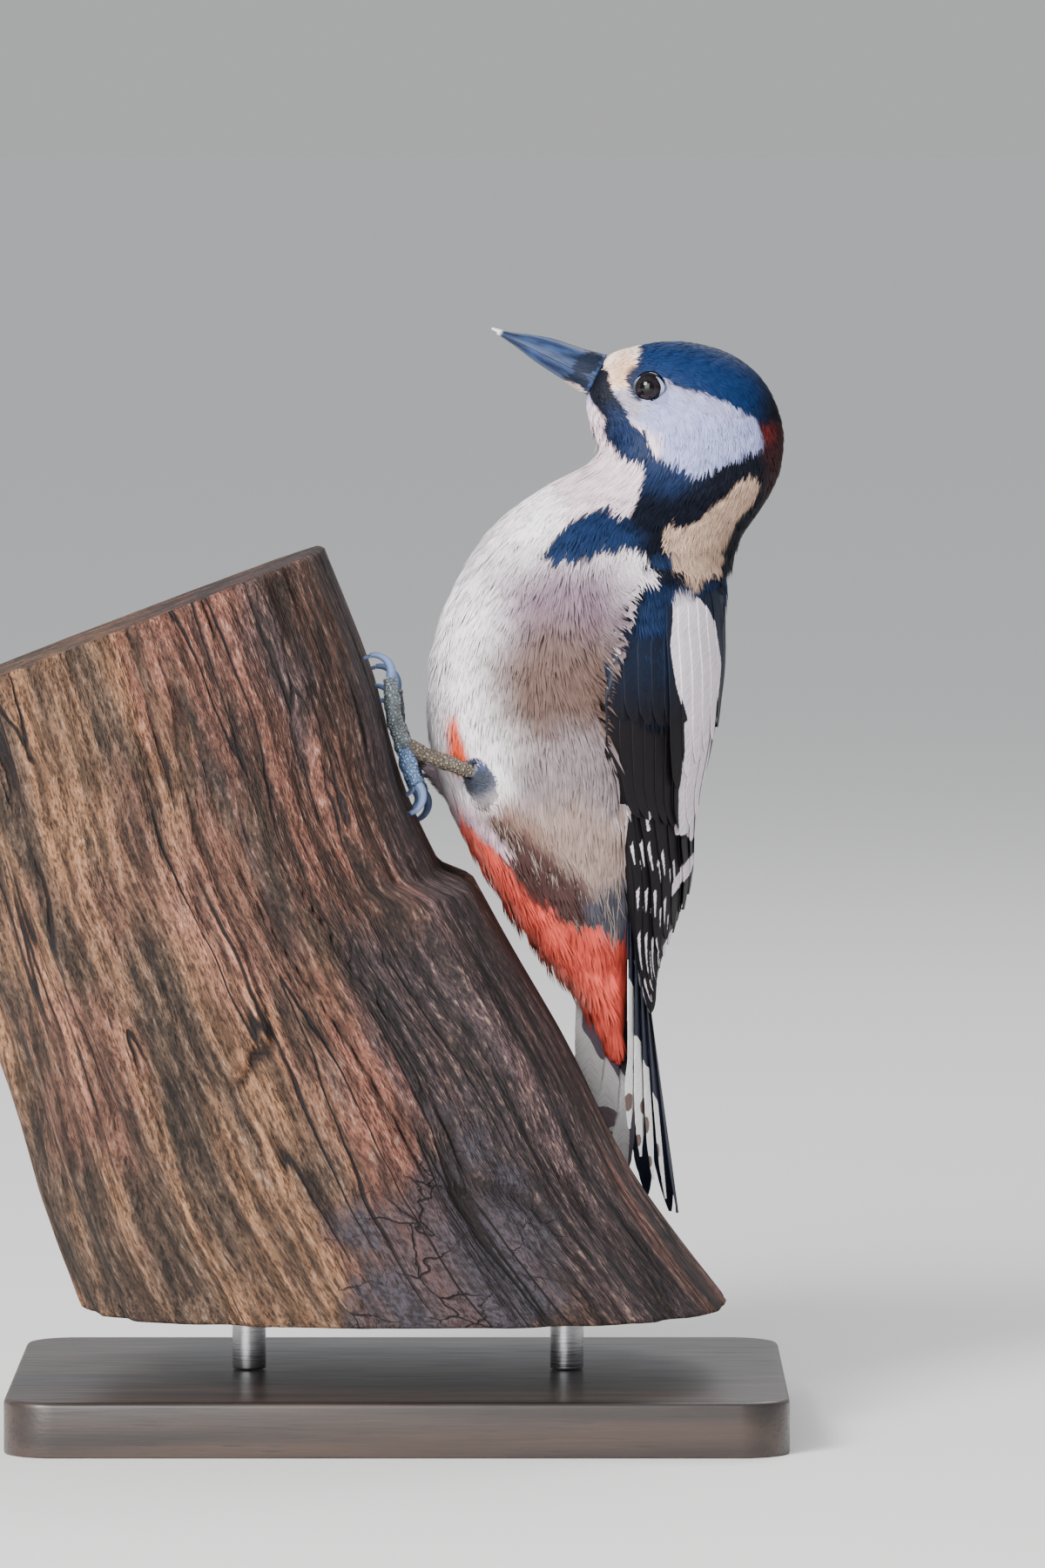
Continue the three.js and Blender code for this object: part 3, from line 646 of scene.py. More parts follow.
class Surface:
    """A smooth surface with two numbers, u along the lie of the feathers and v across it."""

    handed = 1.0
    steps = (0.02, 0.01)

    def point(self, u: Array, v: Array, out: Array = 0.0) -> Array:
        """Points at u and v, moved outwards."""
        raise NotImplementedError

    def frame(self, u: Array, v: Array) -> tuple[Array, Array, Array]:
        """Ways along and across the lie, and out of the surface.

        Args:
            u: first numbers.
            v: second numbers.

        Returns:
            The change of the point for each unit of u, for each unit of v, and the outward normal.
        """
        du, dv = self.steps
        along = (self.point(u + du, v) - self.point(u - du, v)) / (2 * du)
        across = (self.point(u, v + dv) - self.point(u, v - dv)) / (2 * dv)
        return along, across, self.handed * unit(np.cross(across, along))


TURN_AXIS = (67.2, 27.0)
BODY_TURN = 22.0


def bird_point(back: Array, left: Array, height: Array, turn: Array = BODY_TURN) -> Array:
    """A point of the bird: back from the turning axis, out to its left, and height.

    Args:
        back: distance back from the axis.
        left: distance to the bird's left.
        height: height over the floor.
        turn: degrees that this part of the bird is turned by.

    Returns:
        Points in the frame.
    """
    back, left, height, turn = np.broadcast_arrays(back, left, height, turn)
    x, y = turned(turn, back, left)
    return np.stack([TURN_AXIS[0] + x, TURN_AXIS[1] + y, height], axis=-1)


class Body(Surface):
    """The outside of the plumage from the bill's base to the tip of the under tail coverts.

    u is the ring number. v is the angle in radians from the middle of the back towards the left side. A
    point is the ring's middle, plus half of the line from belly to back times the cosine of v, plus the
    half width times the sine of v out to the left.
    """

    # Each ring: dorsal point (back, height), ventral point (back, height), half width, turn in degrees.
    rings = np.array([
        [-17.6, 254.9, -22.7, 244.0, 5.6, 0],  # bill base
        [-14.3, 256.2, -22.3, 241.3, 7.4, 0],  # forehead
        [-9.0, 257.5, -21.4, 238.3, 8.9, 0],  # brow
        [-2.5, 258.3, -20.4, 235.8, 10.1, 0],  # front of the crown
        [4.8, 257.7, -19.7, 233.7, 11.2, 0],  # crown
        [13.0, 254.9, -19.5, 232.0, 13.2, 0],  # back of the crown
        [19.7, 249.5, -19.7, 230.8, 14.9, 1],  # top of the nape
        [24.0, 241.5, -20.8, 229.5, 15.7, 2],  # nape
        [25.3, 232.5, -23.2, 228.1, 16.2, 5],  # hind neck
        [23.4, 223.9, -27.2, 226.2, 17.0, 9],  # lower neck
        [18.9, 216.3, -33.3, 223.4, 18.5, 14],  # neck base
        [14.2, 209.6, -40.4, 219.2, 20.5, 18],  # shoulders
        [12.0, 201.2, -47.6, 212.9, 23.0, 21],  # upper mantle and breast
        [11.2, 191.1, -53.8, 204.8, 25.0, 22],  # mantle
        [9.6, 180.0, -59.0, 194.5, 26.3, 22],  # back
        [6.6, 168.4, -62.3, 182.7, 26.6, 22],  # middle of the belly
        [2.6, 157.5, -63.2, 170.9, 26.0, 22],  # lower back
        [-1.4, 146.4, -61.8, 159.4, 24.6, 22],  # top of the rump, between the legs
        [-5.2, 135.9, -57.2, 145.6, 22.0, 22],  # rump
        [-8.6, 126.0, -50.2, 132.6, 18.8, 22],  # lower rump
        [-11.6, 117.0, -41.2, 120.4, 15.0, 22],  # vent
        [-14.0, 107.0, -31.9, 108.0, 10.8, 22],  # under tail coverts
        [-14.8, 96.0, -23.4, 97.2, 6.4, 22],
        [-14.8, 84.2, -17.4, 84.8, 2.0, 22],  # tip of the coverts
    ])
    last = 23

    def point(self, u: Array, v: Array, out: Array = 0.0) -> Array:
        """Points at ring u and angle v, moved outwards in the ring's own plane.

        Args:
            u: ring numbers.
            v: angles in radians from the back.
            out: distance outwards.

        Returns:
            Points in the frame.
        """
        u, v, out = np.broadcast_arrays(u, v, out)
        ring = spline(self.rings, np.clip(u, 0, self.last))
        back, high, front, low, width, turn = np.moveaxis(ring, -1, 0)
        half = ((back - front) / 2, (high - low) / 2)
        reach = np.cos(v) * (1 + out / np.hypot(*half))
        middle = ((back + front) / 2 + half[0] * reach, (high + low) / 2 + half[1] * reach)
        return bird_point(middle[0], np.sin(v) * (width + out), middle[1], turn)


BODY = Body()


@dataclass(frozen=True)
class Mark:
    """A patch of colour on the left side, as seen from the left, and the same on the right."""

    pigment: int
    outline: Outline
    edge: float

    def share(self, where: Array) -> Array:
        """How much of the patch's colour shows at places (X, Z), with an edge of that half width."""
        return ramp(inside(where, np.array(self.outline)), -self.edge, self.edge)


BLACK = 0x0C101C
WHITE = 0xF8EFF3
# The cheek's white plumage in painted shade, tinted by the blue sky.
CHEEK_PAINTED_SHADE = 0x979CC6
CREAM = 0xBA9C88
CORAL = 0xFC6657

# The cream patch on the side of the neck, as seen from the left.
COLLAR = (
    (63.4, 214.8), (63.0, 211.0), (64.7, 206.8), (65.9, 203.1), (68.2, 201.2), (70.8, 199.5),
    (72.9, 201.4), (75.0, 205.2), (79.2, 210.6), (81.5, 215.9), (85.7, 220.3), (86.9, 224.1),
    (85.7, 226.0), (81.5, 225.1), (79.2, 222.0), (76.0, 219.7), (71.2, 215.5), (67.0, 214.4),
)


@dataclass(frozen=True)
class Markings:
    """The plumage's colours, painted one over the other."""

    ground: int = WHITE
    marks: tuple[Mark, ...] = (
        # Cheek, chin and forehead; the cheek's lavender is painted shade, tinted by the blue sky, over
        # white plumage.
        Mark(CHEEK_PAINTED_SHADE, ((40, 262), (40, 236), (62, 224), (92, 224), (92, 262)), 2.0),
        Mark(0xE2CCD4, ((36, 244), (48, 243), (62, 236), (64, 216), (40, 214)), 2.0),
        Mark(0xF6DCCB, ((45, 262), (45, 247), (54, 246.6), (60, 262)), 1.0),
        # The mauves, browns and greys of the breast and belly, partly the belly's own buff and partly
        # painted shade, and the red vent with its pale and dark edges, its ventral edge paler as painted
        # light.
        Mark(0x7C6876, ((22, 204), (38, 210), (54, 206), (58, 192), (48, 178), (26, 180)), 9.5),
        Mark(0x624E47, ((20, 184), (34, 194), (54, 190), (59, 168), (52, 153), (34, 156), (22, 168)),
             9.5),
        Mark(0x84777A, ((26, 160), (40, 168), (53, 166), (56, 148), (44, 142), (28, 148)), 5.0),
        Mark(0x866A5E, ((15, 146), (26, 152), (40, 144), (50, 128), (36, 122), (22, 134)), 4.0),
        Mark(0x9A847C, ((32, 150), (42, 152), (57, 142), (56, 125), (48, 121), (40, 132)), 3.5),
        Mark(0x4C3634, ((20, 147), (28, 144), (36, 137), (44, 130), (49, 124), (46, 114), (34, 119),
             (19, 140)), 2.2),
        Mark(0x4C4B55, ((44, 124), (49, 129), (57, 131), (60, 118), (58, 112), (47, 113)), 2.2),
        Mark(CORAL, ((2, 150), (12.4, 149), (18.1, 143), (23.1, 137), (29.8, 127.8), (36.5, 123),
             (42.2, 118.6), (50.6, 117), (60, 114), (60, 78), (50, 78), (30, 90), (2, 130)), 1.2),
        Mark(0xDFC2CE, ((11.0, 151.4), (14.2, 150.0), (20.4, 144.2), (27, 137.2), (25, 135.6),
             (17.4, 142.4), (10.6, 147.4)), 0.8),
        # Painted light: the vent is paler along its ventral edge.
        Mark(0xFF9384, ((6, 152), (13, 146), (21, 133), (33, 115), (46, 100), (30, 90), (2, 130)), 1.6),
        Mark(0xC84A3E, ((38, 119), (48, 116), (62, 113), (62, 107), (50, 108), (40, 114)), 3.0),
        # The hood, the stripe from the bill round the neck, the shoulders and the mantle.
        Mark(0xE0B596, ((50, 252.6), (54.2, 256), (57.0, 252.4), (54.4, 247.8), (50.4, 247.6)), 1.5),
        Mark(0xA29CA8, ((50.8, 246.2), (55, 247.2), (58.4, 243.4), (55.6, 240.0), (52.6, 243)), 1.2),
        Mark(0x1A2036, ((53.9, 251.2), (56.9, 253.0), (58.4, 252.0), (58.0, 244.6), (55.8, 244.2),
             (54.4, 246.8)), 0.6),
        Mark(0x9A9ABC, ((58, 250.6), (66, 249.2), (84, 241.6), (84, 239), (66, 245.6), (58, 246)), 1.4),
        Mark(BLACK, ((44.0, 249.6), (46.6, 252.9), (49.2, 253.7), (50.0, 249.2), (50.8, 246.0),
             (53.2, 243.3), (55.0, 239.0), (58.4, 236.5), (60.5, 232.7), (65.9, 228.9), (71.2, 226.4),
             (74.3, 227.0), (78.1, 229.3), (82.5, 231.0), (87.4, 232.7), (87.8, 234.8), (85.5, 240.2),
             (81.9, 242.3), (78.1, 244.4), (73.3, 246.3), (67.0, 247.4), (64.2, 249.4), (59.0, 249.2),
             (57.0, 246.2), (55.2, 246.4), (54.9, 248.6), (55.9, 250.9), (56.9, 253.9), (57.6, 262),
             (75, 264), (100, 250), (100, 190), (90, 90), (61, 84), (58.5, 140), (56.5, 160), (52, 176),
             (53.5, 192), (56.6, 200.8), (60.5, 205.2), (58.4, 208.5), (54.0, 210.0), (49.1, 208.9),
             (44.9, 207.5), (41.2, 206.6), (33.6, 206.8), (35.3, 209.6), (38.4, 213.4), (41.6, 216.5),
             (46.0, 218.6), (49.8, 219.7), (51.9, 217.6), (55.0, 216.5), (57.0, 220.7), (58.6, 226.2),
             (57.6, 229.4), (53.8, 231.4), (50.6, 233.6), (48.6, 236.7), (48.6, 240.4), (46.2, 243.4),
             (44.2, 246.2)), 0.45),
        Mark(CREAM, COLLAR, 0.5),
        Mark(0x34161A, ((87.0, 238.2), (90, 239.4), (99, 239), (99, 226), (90.5, 224), (87.4, 231)),
             1.6),
        Mark(0x5C1E20, ((86.8, 238.0), (89.0, 238.6), (90.8, 237.2), (90.0, 234.6), (87.8, 234.2)),
             1.2),
        Mark(0x2C1418, ((88, 226.5), (99, 228), (99, 214), (89, 214)), 2.0),
    )
    # Where the dark plumage shows a painted blue sheen, and how blue: crown, breast bar, stripe on the
    # neck, shoulder.
    blue_sheen_zones: tuple[Mark, ...] = (
        Mark(0x0D274F, ((56, 262), (56, 247), (66, 246), (80, 241), (86, 240), (88, 250), (84, 262)),
             4.0),
        Mark(0x152748, ((30, 205), (30, 222), (48, 221), (54, 217), (58, 212), (56, 204), (50, 203)),
             3.0),
        Mark(0x162544, ((50, 243), (55, 241), (66, 231), (72, 226), (66, 222), (57, 224), (50, 236)),
             3.0),
        Mark(0x22355A, ((52, 204), (66, 202), (66, 170), (52, 168)), 4.0),
    )

    def colour(self, where: Array) -> Array:
        """The pigment at places (X, Z) of the left side.

        Args:
            where: places of two numbers each.

        Returns:
            Three linear numbers for each.
        """
        painted = one_colour(self.ground, where.shape[:-1])
        for mark in self.marks:
            painted = mix(painted, rgb(mark.pigment), mark.share(where)[..., None])
        dark = ramp(painted.max(axis=-1), 0.05, 0.02)
        for zone in self.blue_sheen_zones:
            painted = mix(painted, rgb(zone.pigment), (dark * zone.share(where))[..., None])
        return painted


MARKINGS = Markings()
# A red spot low on the belly, on the left side only.
BELLY_SPOT = Mark(0xE85A38, ((10.6, 171), (12.8, 170), (16.4, 160), (15.6, 157.4), (11.0, 158.6)), 1.5)


def body_colour(u: Array, v: Array) -> Array:
    """The body's pigment at ring u and angle v: that of the same place on the left side, black on the back.

    Args:
        u: ring numbers.
        v: angles from the back.

    Returns:
        Three linear numbers for each.
    """
    side = np.abs(v)
    seen = BODY.point(u, side)[..., [0, 2]]
    painted = MARKINGS.colour(seen)
    spot = BELLY_SPOT.share(seen) * (v > 0)
    painted = mix(painted, rgb(BELLY_SPOT.pigment), spot[..., None])
    # Painted light and shade: pale plumage is lighter on the crests of the folds that raise the strands and
    # darker and more mauve between them.
    pale = ramp(painted.min(axis=-1), 0.25, 0.5) * fold(u, v)
    painted = painted * (1 + pale[..., None] * np.array([0.06, 0.1, 0.085]))
    edge = mix(54, 30, ramp(u, 18, 19.5))
    back = ramp(u, 11.8, 12.8) * ramp(np.degrees(side), edge + 8, edge) * ramp(u, 22.5, 21.5)
    return mix(painted, rgb(BLACK), back[..., None])


def fold(u: Array, v: Array) -> Array:
    """Soft folds that run with the lie of the breast and belly: near 1 on their crests, -1 between them.

    Args:
        u: ring numbers.
        v: angles in radians from the back.

    Returns:
        Numbers from -1 to 1, nought away from the breast and belly.
    """
    u, v = np.broadcast_arrays(u, v)
    drift = v * 3.6 + 0.35 * u
    size = ramp(u, 9.5, 12.5) * ramp(u, 19.5, 17)
    return size * np.clip(1.7 * noise(np.stack([u / 4.2, drift, 0 * u + 7], axis=-1), 21), -1, 1)


def skin_shape(depth: float = 2.2, rings: int = 190, sides: int = 96) -> Shape:
    """The skin: the plumage's surface moved inwards, closed at both ends.

    Args:
        depth: how far it lies under the feathers' outside, less at the face and the tail.
        rings: how many rings it has from the bill to the tail.
        sides: points in each ring.

    Returns:
        A closed shape with its pigment.
    """
    u = np.linspace(0.05, Body.last - 0.1, rings)[:, None]
    v = circle(sides, -np.pi)[None, :]
    inset = depth * (0.35 + 0.65 * ramp(u, 2, 12)) * (1 - 0.6 * ramp(u, 20, 23))
    # The skin's pigment is the plumage's own darkened, as painted shade in the gaps between the feathers.
    return tube(BODY.point(u, v, -inset), {"pigment": body_colour(u, v + 0 * u) * 0.7})


# ---- Coat ------------------------------------------------------------------------------------------


@dataclass(frozen=True)
class Tract:
    """A stretch of body feathers: each is a fan of thin tapered strands from one root."""

    name: str
    slot: Slot
    u: tuple[float, float]
    strands: int
    stations: int
    spacing: float = 0.3
    depth: float = 1.2


# Feather length at some rings: on the back, on the side and on the belly.
LENGTH_RINGS = (0, 2, 5, 8, 11, 14, 18, 21, 23)
LENGTHS = np.array([
    [2.0, 1.8, 2.4],
    [2.8, 3.0, 3.6],
    [4.2, 6.2, 5.4],
    [5.4, 7.4, 7.4],
    [7.0, 8.6, 10.0],
    [9.0, 11.0, 13.0],
    [9.0, 13.0, 13.5],
    [9.0, 15.0, 13.0],
    [7.0, 9.5, 9.0],
])
SLIVER_PROFILE = {2: (0.75, 1.0), 3: (0.6, 1.0, 0.8), 4: (0.6, 1.0, 1.0, 0.7)}
EYE = (60.0, 247.4)
BAKE_PATCH = 0.003


def feather_length(u: Array, v: Array) -> Array:
    """Length of the body feathers, read between the table's rings and between back, side and belly.

    Args:
        u: ring numbers.
        v: angles in radians from the back.

    Returns:
        Lengths in millimetres.
    """
    rows = [np.interp(u, LENGTH_RINGS, LENGTHS[:, k]) for k in range(3)]
    side = np.abs(v) / (np.pi / 2)
    return np.where(side < 1, mix(rows[0], rows[1], side), mix(rows[1], rows[2], side - 1))


def scatter(weight: Array, number: int, rng: Generator) -> tuple[Array, Array]:
    """Evenly scattered places on a grid, thicker where the grid's weight is larger.

    The two golden-ratio sequences fill a square evenly; each is read back through the running sums of the
    weight, first of whole rows and then along a row.

    Args:
        weight: grid of m by n weights.
        number: how many places.
        rng: the source of the small jitter.

    Returns:
        Row numbers and column numbers, with fractions.
    """
    m, n = weight.shape
    k = np.arange(number)
    first, second = (0.5 + k * 0.7548776662466927) % 1, (0.5 + k * 0.5698402909980532) % 1
    second = (second + rng.uniform(-0.3, 0.3, number) / math.sqrt(number)) % 1
    rows = np.cumsum(weight.sum(axis=1))
    row = np.interp(first * rows[-1], np.concatenate([[0], rows]), np.arange(m + 1))
    which = np.minimum(row.astype(int), m - 1)
    along = np.cumsum(weight, axis=1)
    total = np.maximum(along[:, -1:], 1e-9)
    ladder = (np.concatenate([np.zeros((m, 1)), along / total], axis=1) + 2 * np.arange(m)[:, None]).ravel()
    found = np.interp(second + 2 * which, ladder, np.arange(m * (n + 1)))
    return row - 0.5, found - which * (n + 1) - 0.5


def slivers(path: Array, out: Array, width: Array, stations: int) -> tuple[Shape, Array]:
    """Thin closed strands: a three-sided section carried along each path and drawn to a point.

    Args:
        path: n paths of stations + 1 points.
        out: the outward direction at each of those points.
        width: n widths.
        stations: sections of each strand before its tip.

    Returns:
        The strands as one shape, and for each of its points the number of its strand.
    """
    way = unit(np.gradient(path, axis=1))
    across = unit(np.cross(way, out))
    half = 0.5 * width[:, None] * np.array(SLIVER_PROFILE[stations])
    side, ridge = (half[..., None] * across[:, :-1], 0.35 * half[..., None] * out[:, :-1])
    middle = path[:, :-1]
    sections = np.stack([middle - side, middle + ridge, middle + side], axis=2)
    n, per = len(path), 3 * stations + 1
    points = np.concatenate([sections.reshape(n, -1, 3), path[:, -1:]], axis=1)
    lean = 0.55 * across[:, :-1]
    lie = np.stack([out[:, :-1] - lean, out[:, :-1], out[:, :-1] + lean], axis=2)
    lie = np.concatenate([lie.reshape(n, -1, 3), out[:, -1:]], axis=1)
    base = 3 * np.arange(stations - 1)[:, None]
    quads = np.concatenate([base + np.array(q) for q in ((0, 1, 4, 3), (1, 2, 5, 4), (2, 0, 3, 5))])
    end = 3 * (stations - 1)
    closing = [[end + a, end + b, per - 1] for a, b in ((0, 1), (1, 2), (2, 0))]
    tips = np.array([*closing, [0, 2, 1]])
    start = per * np.arange(n)[:, None, None]
    shape = Shape(points.reshape(-1, 3), (quads + start).reshape(-1, 4), (tips + start).reshape(-1, 3))
    shape.values["lie"] = lie.reshape(-1, 3)
    return shape.facing_out(), np.repeat(np.arange(n), per)


@dataclass
class Fans:
    """Feathers as fans of strands on a surface."""

    surface: Surface
    u: Array
    v: Array
    length: Array
    comb: Array
    strands: int
    stations: int
    depth: Array
    lift: Array
    rng: Generator
    slimness: float = 0.62
    folds: float = 0.0

    def paths(self) -> tuple[Array, Array, Array]:
        """Each strand's path on the surface.

        In the feather's own flat measure a strand starts near the root and runs out to its place on a
        rounded end: across it goes as the 0.7 power of the share of its length, along it goes evenly, less
        far at the feather's sides. The surface's own scale at the root turns that into u and v.

        Returns:
            Points, outward ways, and the pair u, v, each for n feathers, their strands and stations.
        """
        n, k = len(self.u), self.strands
        q = np.linspace(-1, 1, k) + self.rng.normal(0, 0.35 / k, (n, k))
        t = np.linspace(0, 1, self.stations + 1)
        length = self.length[:, None] * (1 + self.rng.normal(0, 0.07, (n, k)))
        half = 0.5 * self.slimness * self.length[:, None]
        x = (half * q)[..., None] * (0.12 + 0.88 * t**0.7)
        y = (length * (1 - 0.2 * q**2))[..., None] * (0.06 + 0.94 * t)
        bend = self.rng.normal(0, 0.05, (n, k))[..., None] * length[..., None] * t**2
        along, across, _ = self.surface.frame(self.u, self.v)
        scale_u = np.linalg.norm(along, axis=-1)[:, None, None]
        scale_v = np.linalg.norm(across, axis=-1)[:, None, None]
        turn = (self.comb + self.rng.normal(0, 0.06, n))[:, None, None]
        x = x + bend
        u = self.u[:, None, None] + (y * np.cos(turn) - x * np.sin(turn)) / scale_u
        v = self.v[:, None, None] + (y * np.sin(turn) + x * np.cos(turn)) / scale_v
        layer = self.rng.uniform(-0.5, 0.5, (n, 1, 1)) * 0.35
        rise = -self.depth[:, None, None] * (1 - t) ** 1.4 + self.lift[:, None, None] * t**1.5
        rise = rise + (layer + self.rng.normal(0, 0.08, (n, k, 1))) * t - 0.25 * (q**2)[..., None] * t
        if self.folds:
            rise = rise + self.folds * fold(u, v)
        _, _, out = self.surface.frame(u, v)
        return self.surface.point(u, v, rise), out, np.stack([u, v], axis=-1)

    def shape(self, path: Array, out: Array, colour: Array, home: Array, roots: float = 0.42) -> Shape:
        """Closed strands with their pigment and their places in the baking map.

        Args:
            path: points of each feather's strands.
            out: outward ways there.
            colour: one pigment for each strand.
            home: the place of each strand's root in the map.
            roots: how dark a strand is at its root, as a share: partly the dark down at a real feather's
                base and partly painted shade among the feathers.

        Returns:
            One shape.
        """
        n, k, s = path.shape[:3]
        uneven = (1 + self.rng.normal(0, 0.025, (n, 1, 1))) * (1 + self.rng.normal(0, 0.085, (n, k, 1)))
        width = np.repeat(1.5 * self.slimness * self.length / k, k)
        shape, owner = slivers(path.reshape(-1, s, 3), out.reshape(-1, s, 3), width, s - 1)
        climb = np.tile(np.concatenate([np.repeat(np.linspace(0, 1, s - 1), 3), [1.0]]), n * k)[:, None]
        pigment = (colour * uneven).reshape(-1, 3)[owner]
        # Painted shade with the dark down: each strand darkens towards its root, a pale strand less.
        pale = ramp(pigment.max(axis=1, keepdims=True), 0.1, 0.5)
        shape.values["pigment"] = pigment * mix(mix(roots, 0.8, pale), 1.0, climb)
        corner = np.arange(3 * (s - 1) + 1)
        patch = np.stack([corner % 3 / 2 - 0.5, corner // 3 / (s - 1) - 0.5], axis=1) * BAKE_PATCH
        shape.values["OFBake"] = np.clip(home[owner] + np.tile(patch, (n * k, 1)), 0, 1)
        return shape


class WingFace(Surface):
    """The outer face of one folded wing.

    u is the depth below the shoulder's top in steps of 10 mm and v the angle in radians from the back
    towards the flank. A point is the section's middle, plus half its depth times the cosine of v, plus half
    its width times the sine of v out to the side.
    """

    # Middle of each section, half depth, half width.
    sections = np.array([
        [-22.5, 32.0, 23.2],
        [-24.6, 35.6, 26.3],
        [-26.4, 37.0, 28.4],
        [-27.0, 36.9, 29.6],
        [-26.9, 35.2, 29.6],
        [-26.2, 32.4, 28.6],
        [-24.6, 28.4, 26.4],
        [-21.4, 24.4, 23.4],
        [-18.2, 20.9, 20.6],
        [-16.2, 16.9, 17.3],
        [-13.8, 11.6, 13.6],
        [-10.8, 6.2, 10.4],
        [-9.4, 3.0, 8.0],
        [-9.0, 2.6, 7.4],
    ])
    top = 210.0
    step = 10.0

    def __init__(self, side: int) -> None:
        """Takes 1 for the left wing or -1 for the right one."""
        self.side = side
        self.handed = float(side)

    def point(self, u: Array, v: Array, out: Array = 0.0) -> Array:
        """Points at depth u and angle v, moved outwards."""
        return self.at(self.top - self.step * u, np.degrees(v), out)

    def at(self, height: Array, degrees: Array, out: Array = 0.0, across: Array = 0.0) -> Array:
        """Points at a height and an angle, moved outwards and then across along the section's slope.

        Args:
            height: heights over the floor.
            degrees: angles from the back.
            out: distance outwards.
            across: distance along the section's slope, towards the flank.

        Returns:
            Points in the frame.
        """
        height, degrees, out, across = np.broadcast_arrays(height, degrees, out, across)
        middle, deep, wide = np.moveaxis(spline(self.sections, (self.top - height) / self.step), -1, 0)
        angle = np.radians(degrees)
        slope = unit(np.stack([-deep * np.sin(angle), wide * np.cos(angle)], axis=-1))
        back = middle + (deep + out) * np.cos(angle) + slope[..., 0] * across
        left = (wide + out) * np.sin(angle) + slope[..., 1] * across
        return bird_point(back, self.side * left, height)


@dataclass(frozen=True)
class WingCover:
    """Where the folded wings cover the body, the same on both sides."""

    clearance: float = 1.1
    top: float = 208.0
    bottom: float = 98.0
    most: float = 1.3

    def section(self, points: Array) -> tuple[Array, Array, Array]:
        """Middle and two half sizes of the wing's section at the points' height."""
        row = (WingFace.top - points[..., 2]) / WingFace.step
        return tuple(np.moveaxis(spline(WingFace.sections, row), -1, 0))

    def flat(self, points: Array) -> tuple[Array, Array]:
        """How far back and to the left points lie, in the turned body's own axes.

        Args:
            points: places in the frame.

        Returns:
            Distances back and to the left.
        """
        angle = math.radians(BODY_TURN)
        x, y = points[..., 0] - TURN_AXIS[0], points[..., 1] - TURN_AXIS[1]
        return x * math.cos(angle) + y * math.sin(angle), x * math.sin(angle) - y * math.cos(angle)

    def place(self, points: Array) -> tuple[Array, Array]:
        """Where points lie in the wing's section.

        Args:
            points: places in the frame.

        Returns:
            Share of the way from the section's middle to its outer face, and degrees beyond the wing's
            flank edge, large above and below the wing.
        """
        middle, deep, wide = self.section(points)
        back, left = self.flat(points)
        a, b = (back - middle) / deep, np.abs(left) / wide
        edge = 91 - 8 * ramp(points[..., 2], 170, 205) - 6 * ramp(points[..., 2], 166, 150)
        beyond = np.degrees(np.arctan2(b, a)) - edge
        outside = (points[..., 2] > self.top) | (points[..., 2] < self.bottom)
        return np.hypot(a, b), np.where(outside, 90.0, beyond)

    def clear(self, points: Array) -> Array:
        """Points that would run into a wing, moved straight out to lie just over its outer face.

        Args:
            points: places in the frame.

        Returns:
            The same places, moved where they have to be.
        """
        share, beyond = self.place(points)
        middle, deep, wide = self.section(points)
        back, left = self.flat(points)
        goal = 1 + self.clearance / (0.5 * (deep + wide))
        near = ramp(beyond, 9, 3) * ramp(points[..., 2], self.top, self.top - 6)
        most = mix(1.05, self.most, ramp(beyond, -45, -20))
        factor = mix(1.0, np.clip(goal / np.maximum(share, 0.3), 1.0, most), near * ramp(beyond, -60, -45))
        return bird_point(middle + (back - middle) * factor, left * factor, points[..., 2])


WING_COVER = WingCover()


# Where the flank's feathers end over the folded wing, as seen from the left: height and X.
FLANK_EDGE = np.array([
    [98.0, 56.9], [115.9, 56.5], [127.9, 55.2], [136.9, 54.8], [142.2, 54.5], [148.5, 54.2], [154.8, 52.6],
    [160.0, 50.2], [166.3, 48.8], [173.7, 48.4], [178.9, 49.8], [187.3, 52.0], [195.7, 54.2], [206.2, 58.4],
])


def behind_edge(points: Array) -> Array:
    """How far points, as seen from the left, lie behind the edge of the flank's feathers."""
    return points[..., 0] - np.interp(points[..., 2], FLANK_EDGE[:, 0], FLANK_EDGE[:, 1])


def past_flank(u: Array, v: Array) -> Array:
    """How far places of the body lie behind the flank's edge, far in front where there is no wing.

    Args:
        u: ring numbers.
        v: angles in radians from the back.

    Returns:
        Distances in millimetres.
    """
    place = BODY.point(u, np.abs(v))
    off = (place[..., 2] > FLANK_EDGE[-1, 0]) | (place[..., 2] < FLANK_EDGE[0, 0])
    return np.where(off, -50.0, behind_edge(place))


def body_map(where: Array) -> Array:
    """Where each strand's root lies in the body's baking map, from u and v along the strands."""
    root = where[:, :, 0].reshape(-1, 2)
    return np.stack([(root[:, 1] / (2 * np.pi) + 0.5) % 1, root[:, 0] / Body.last], axis=1)


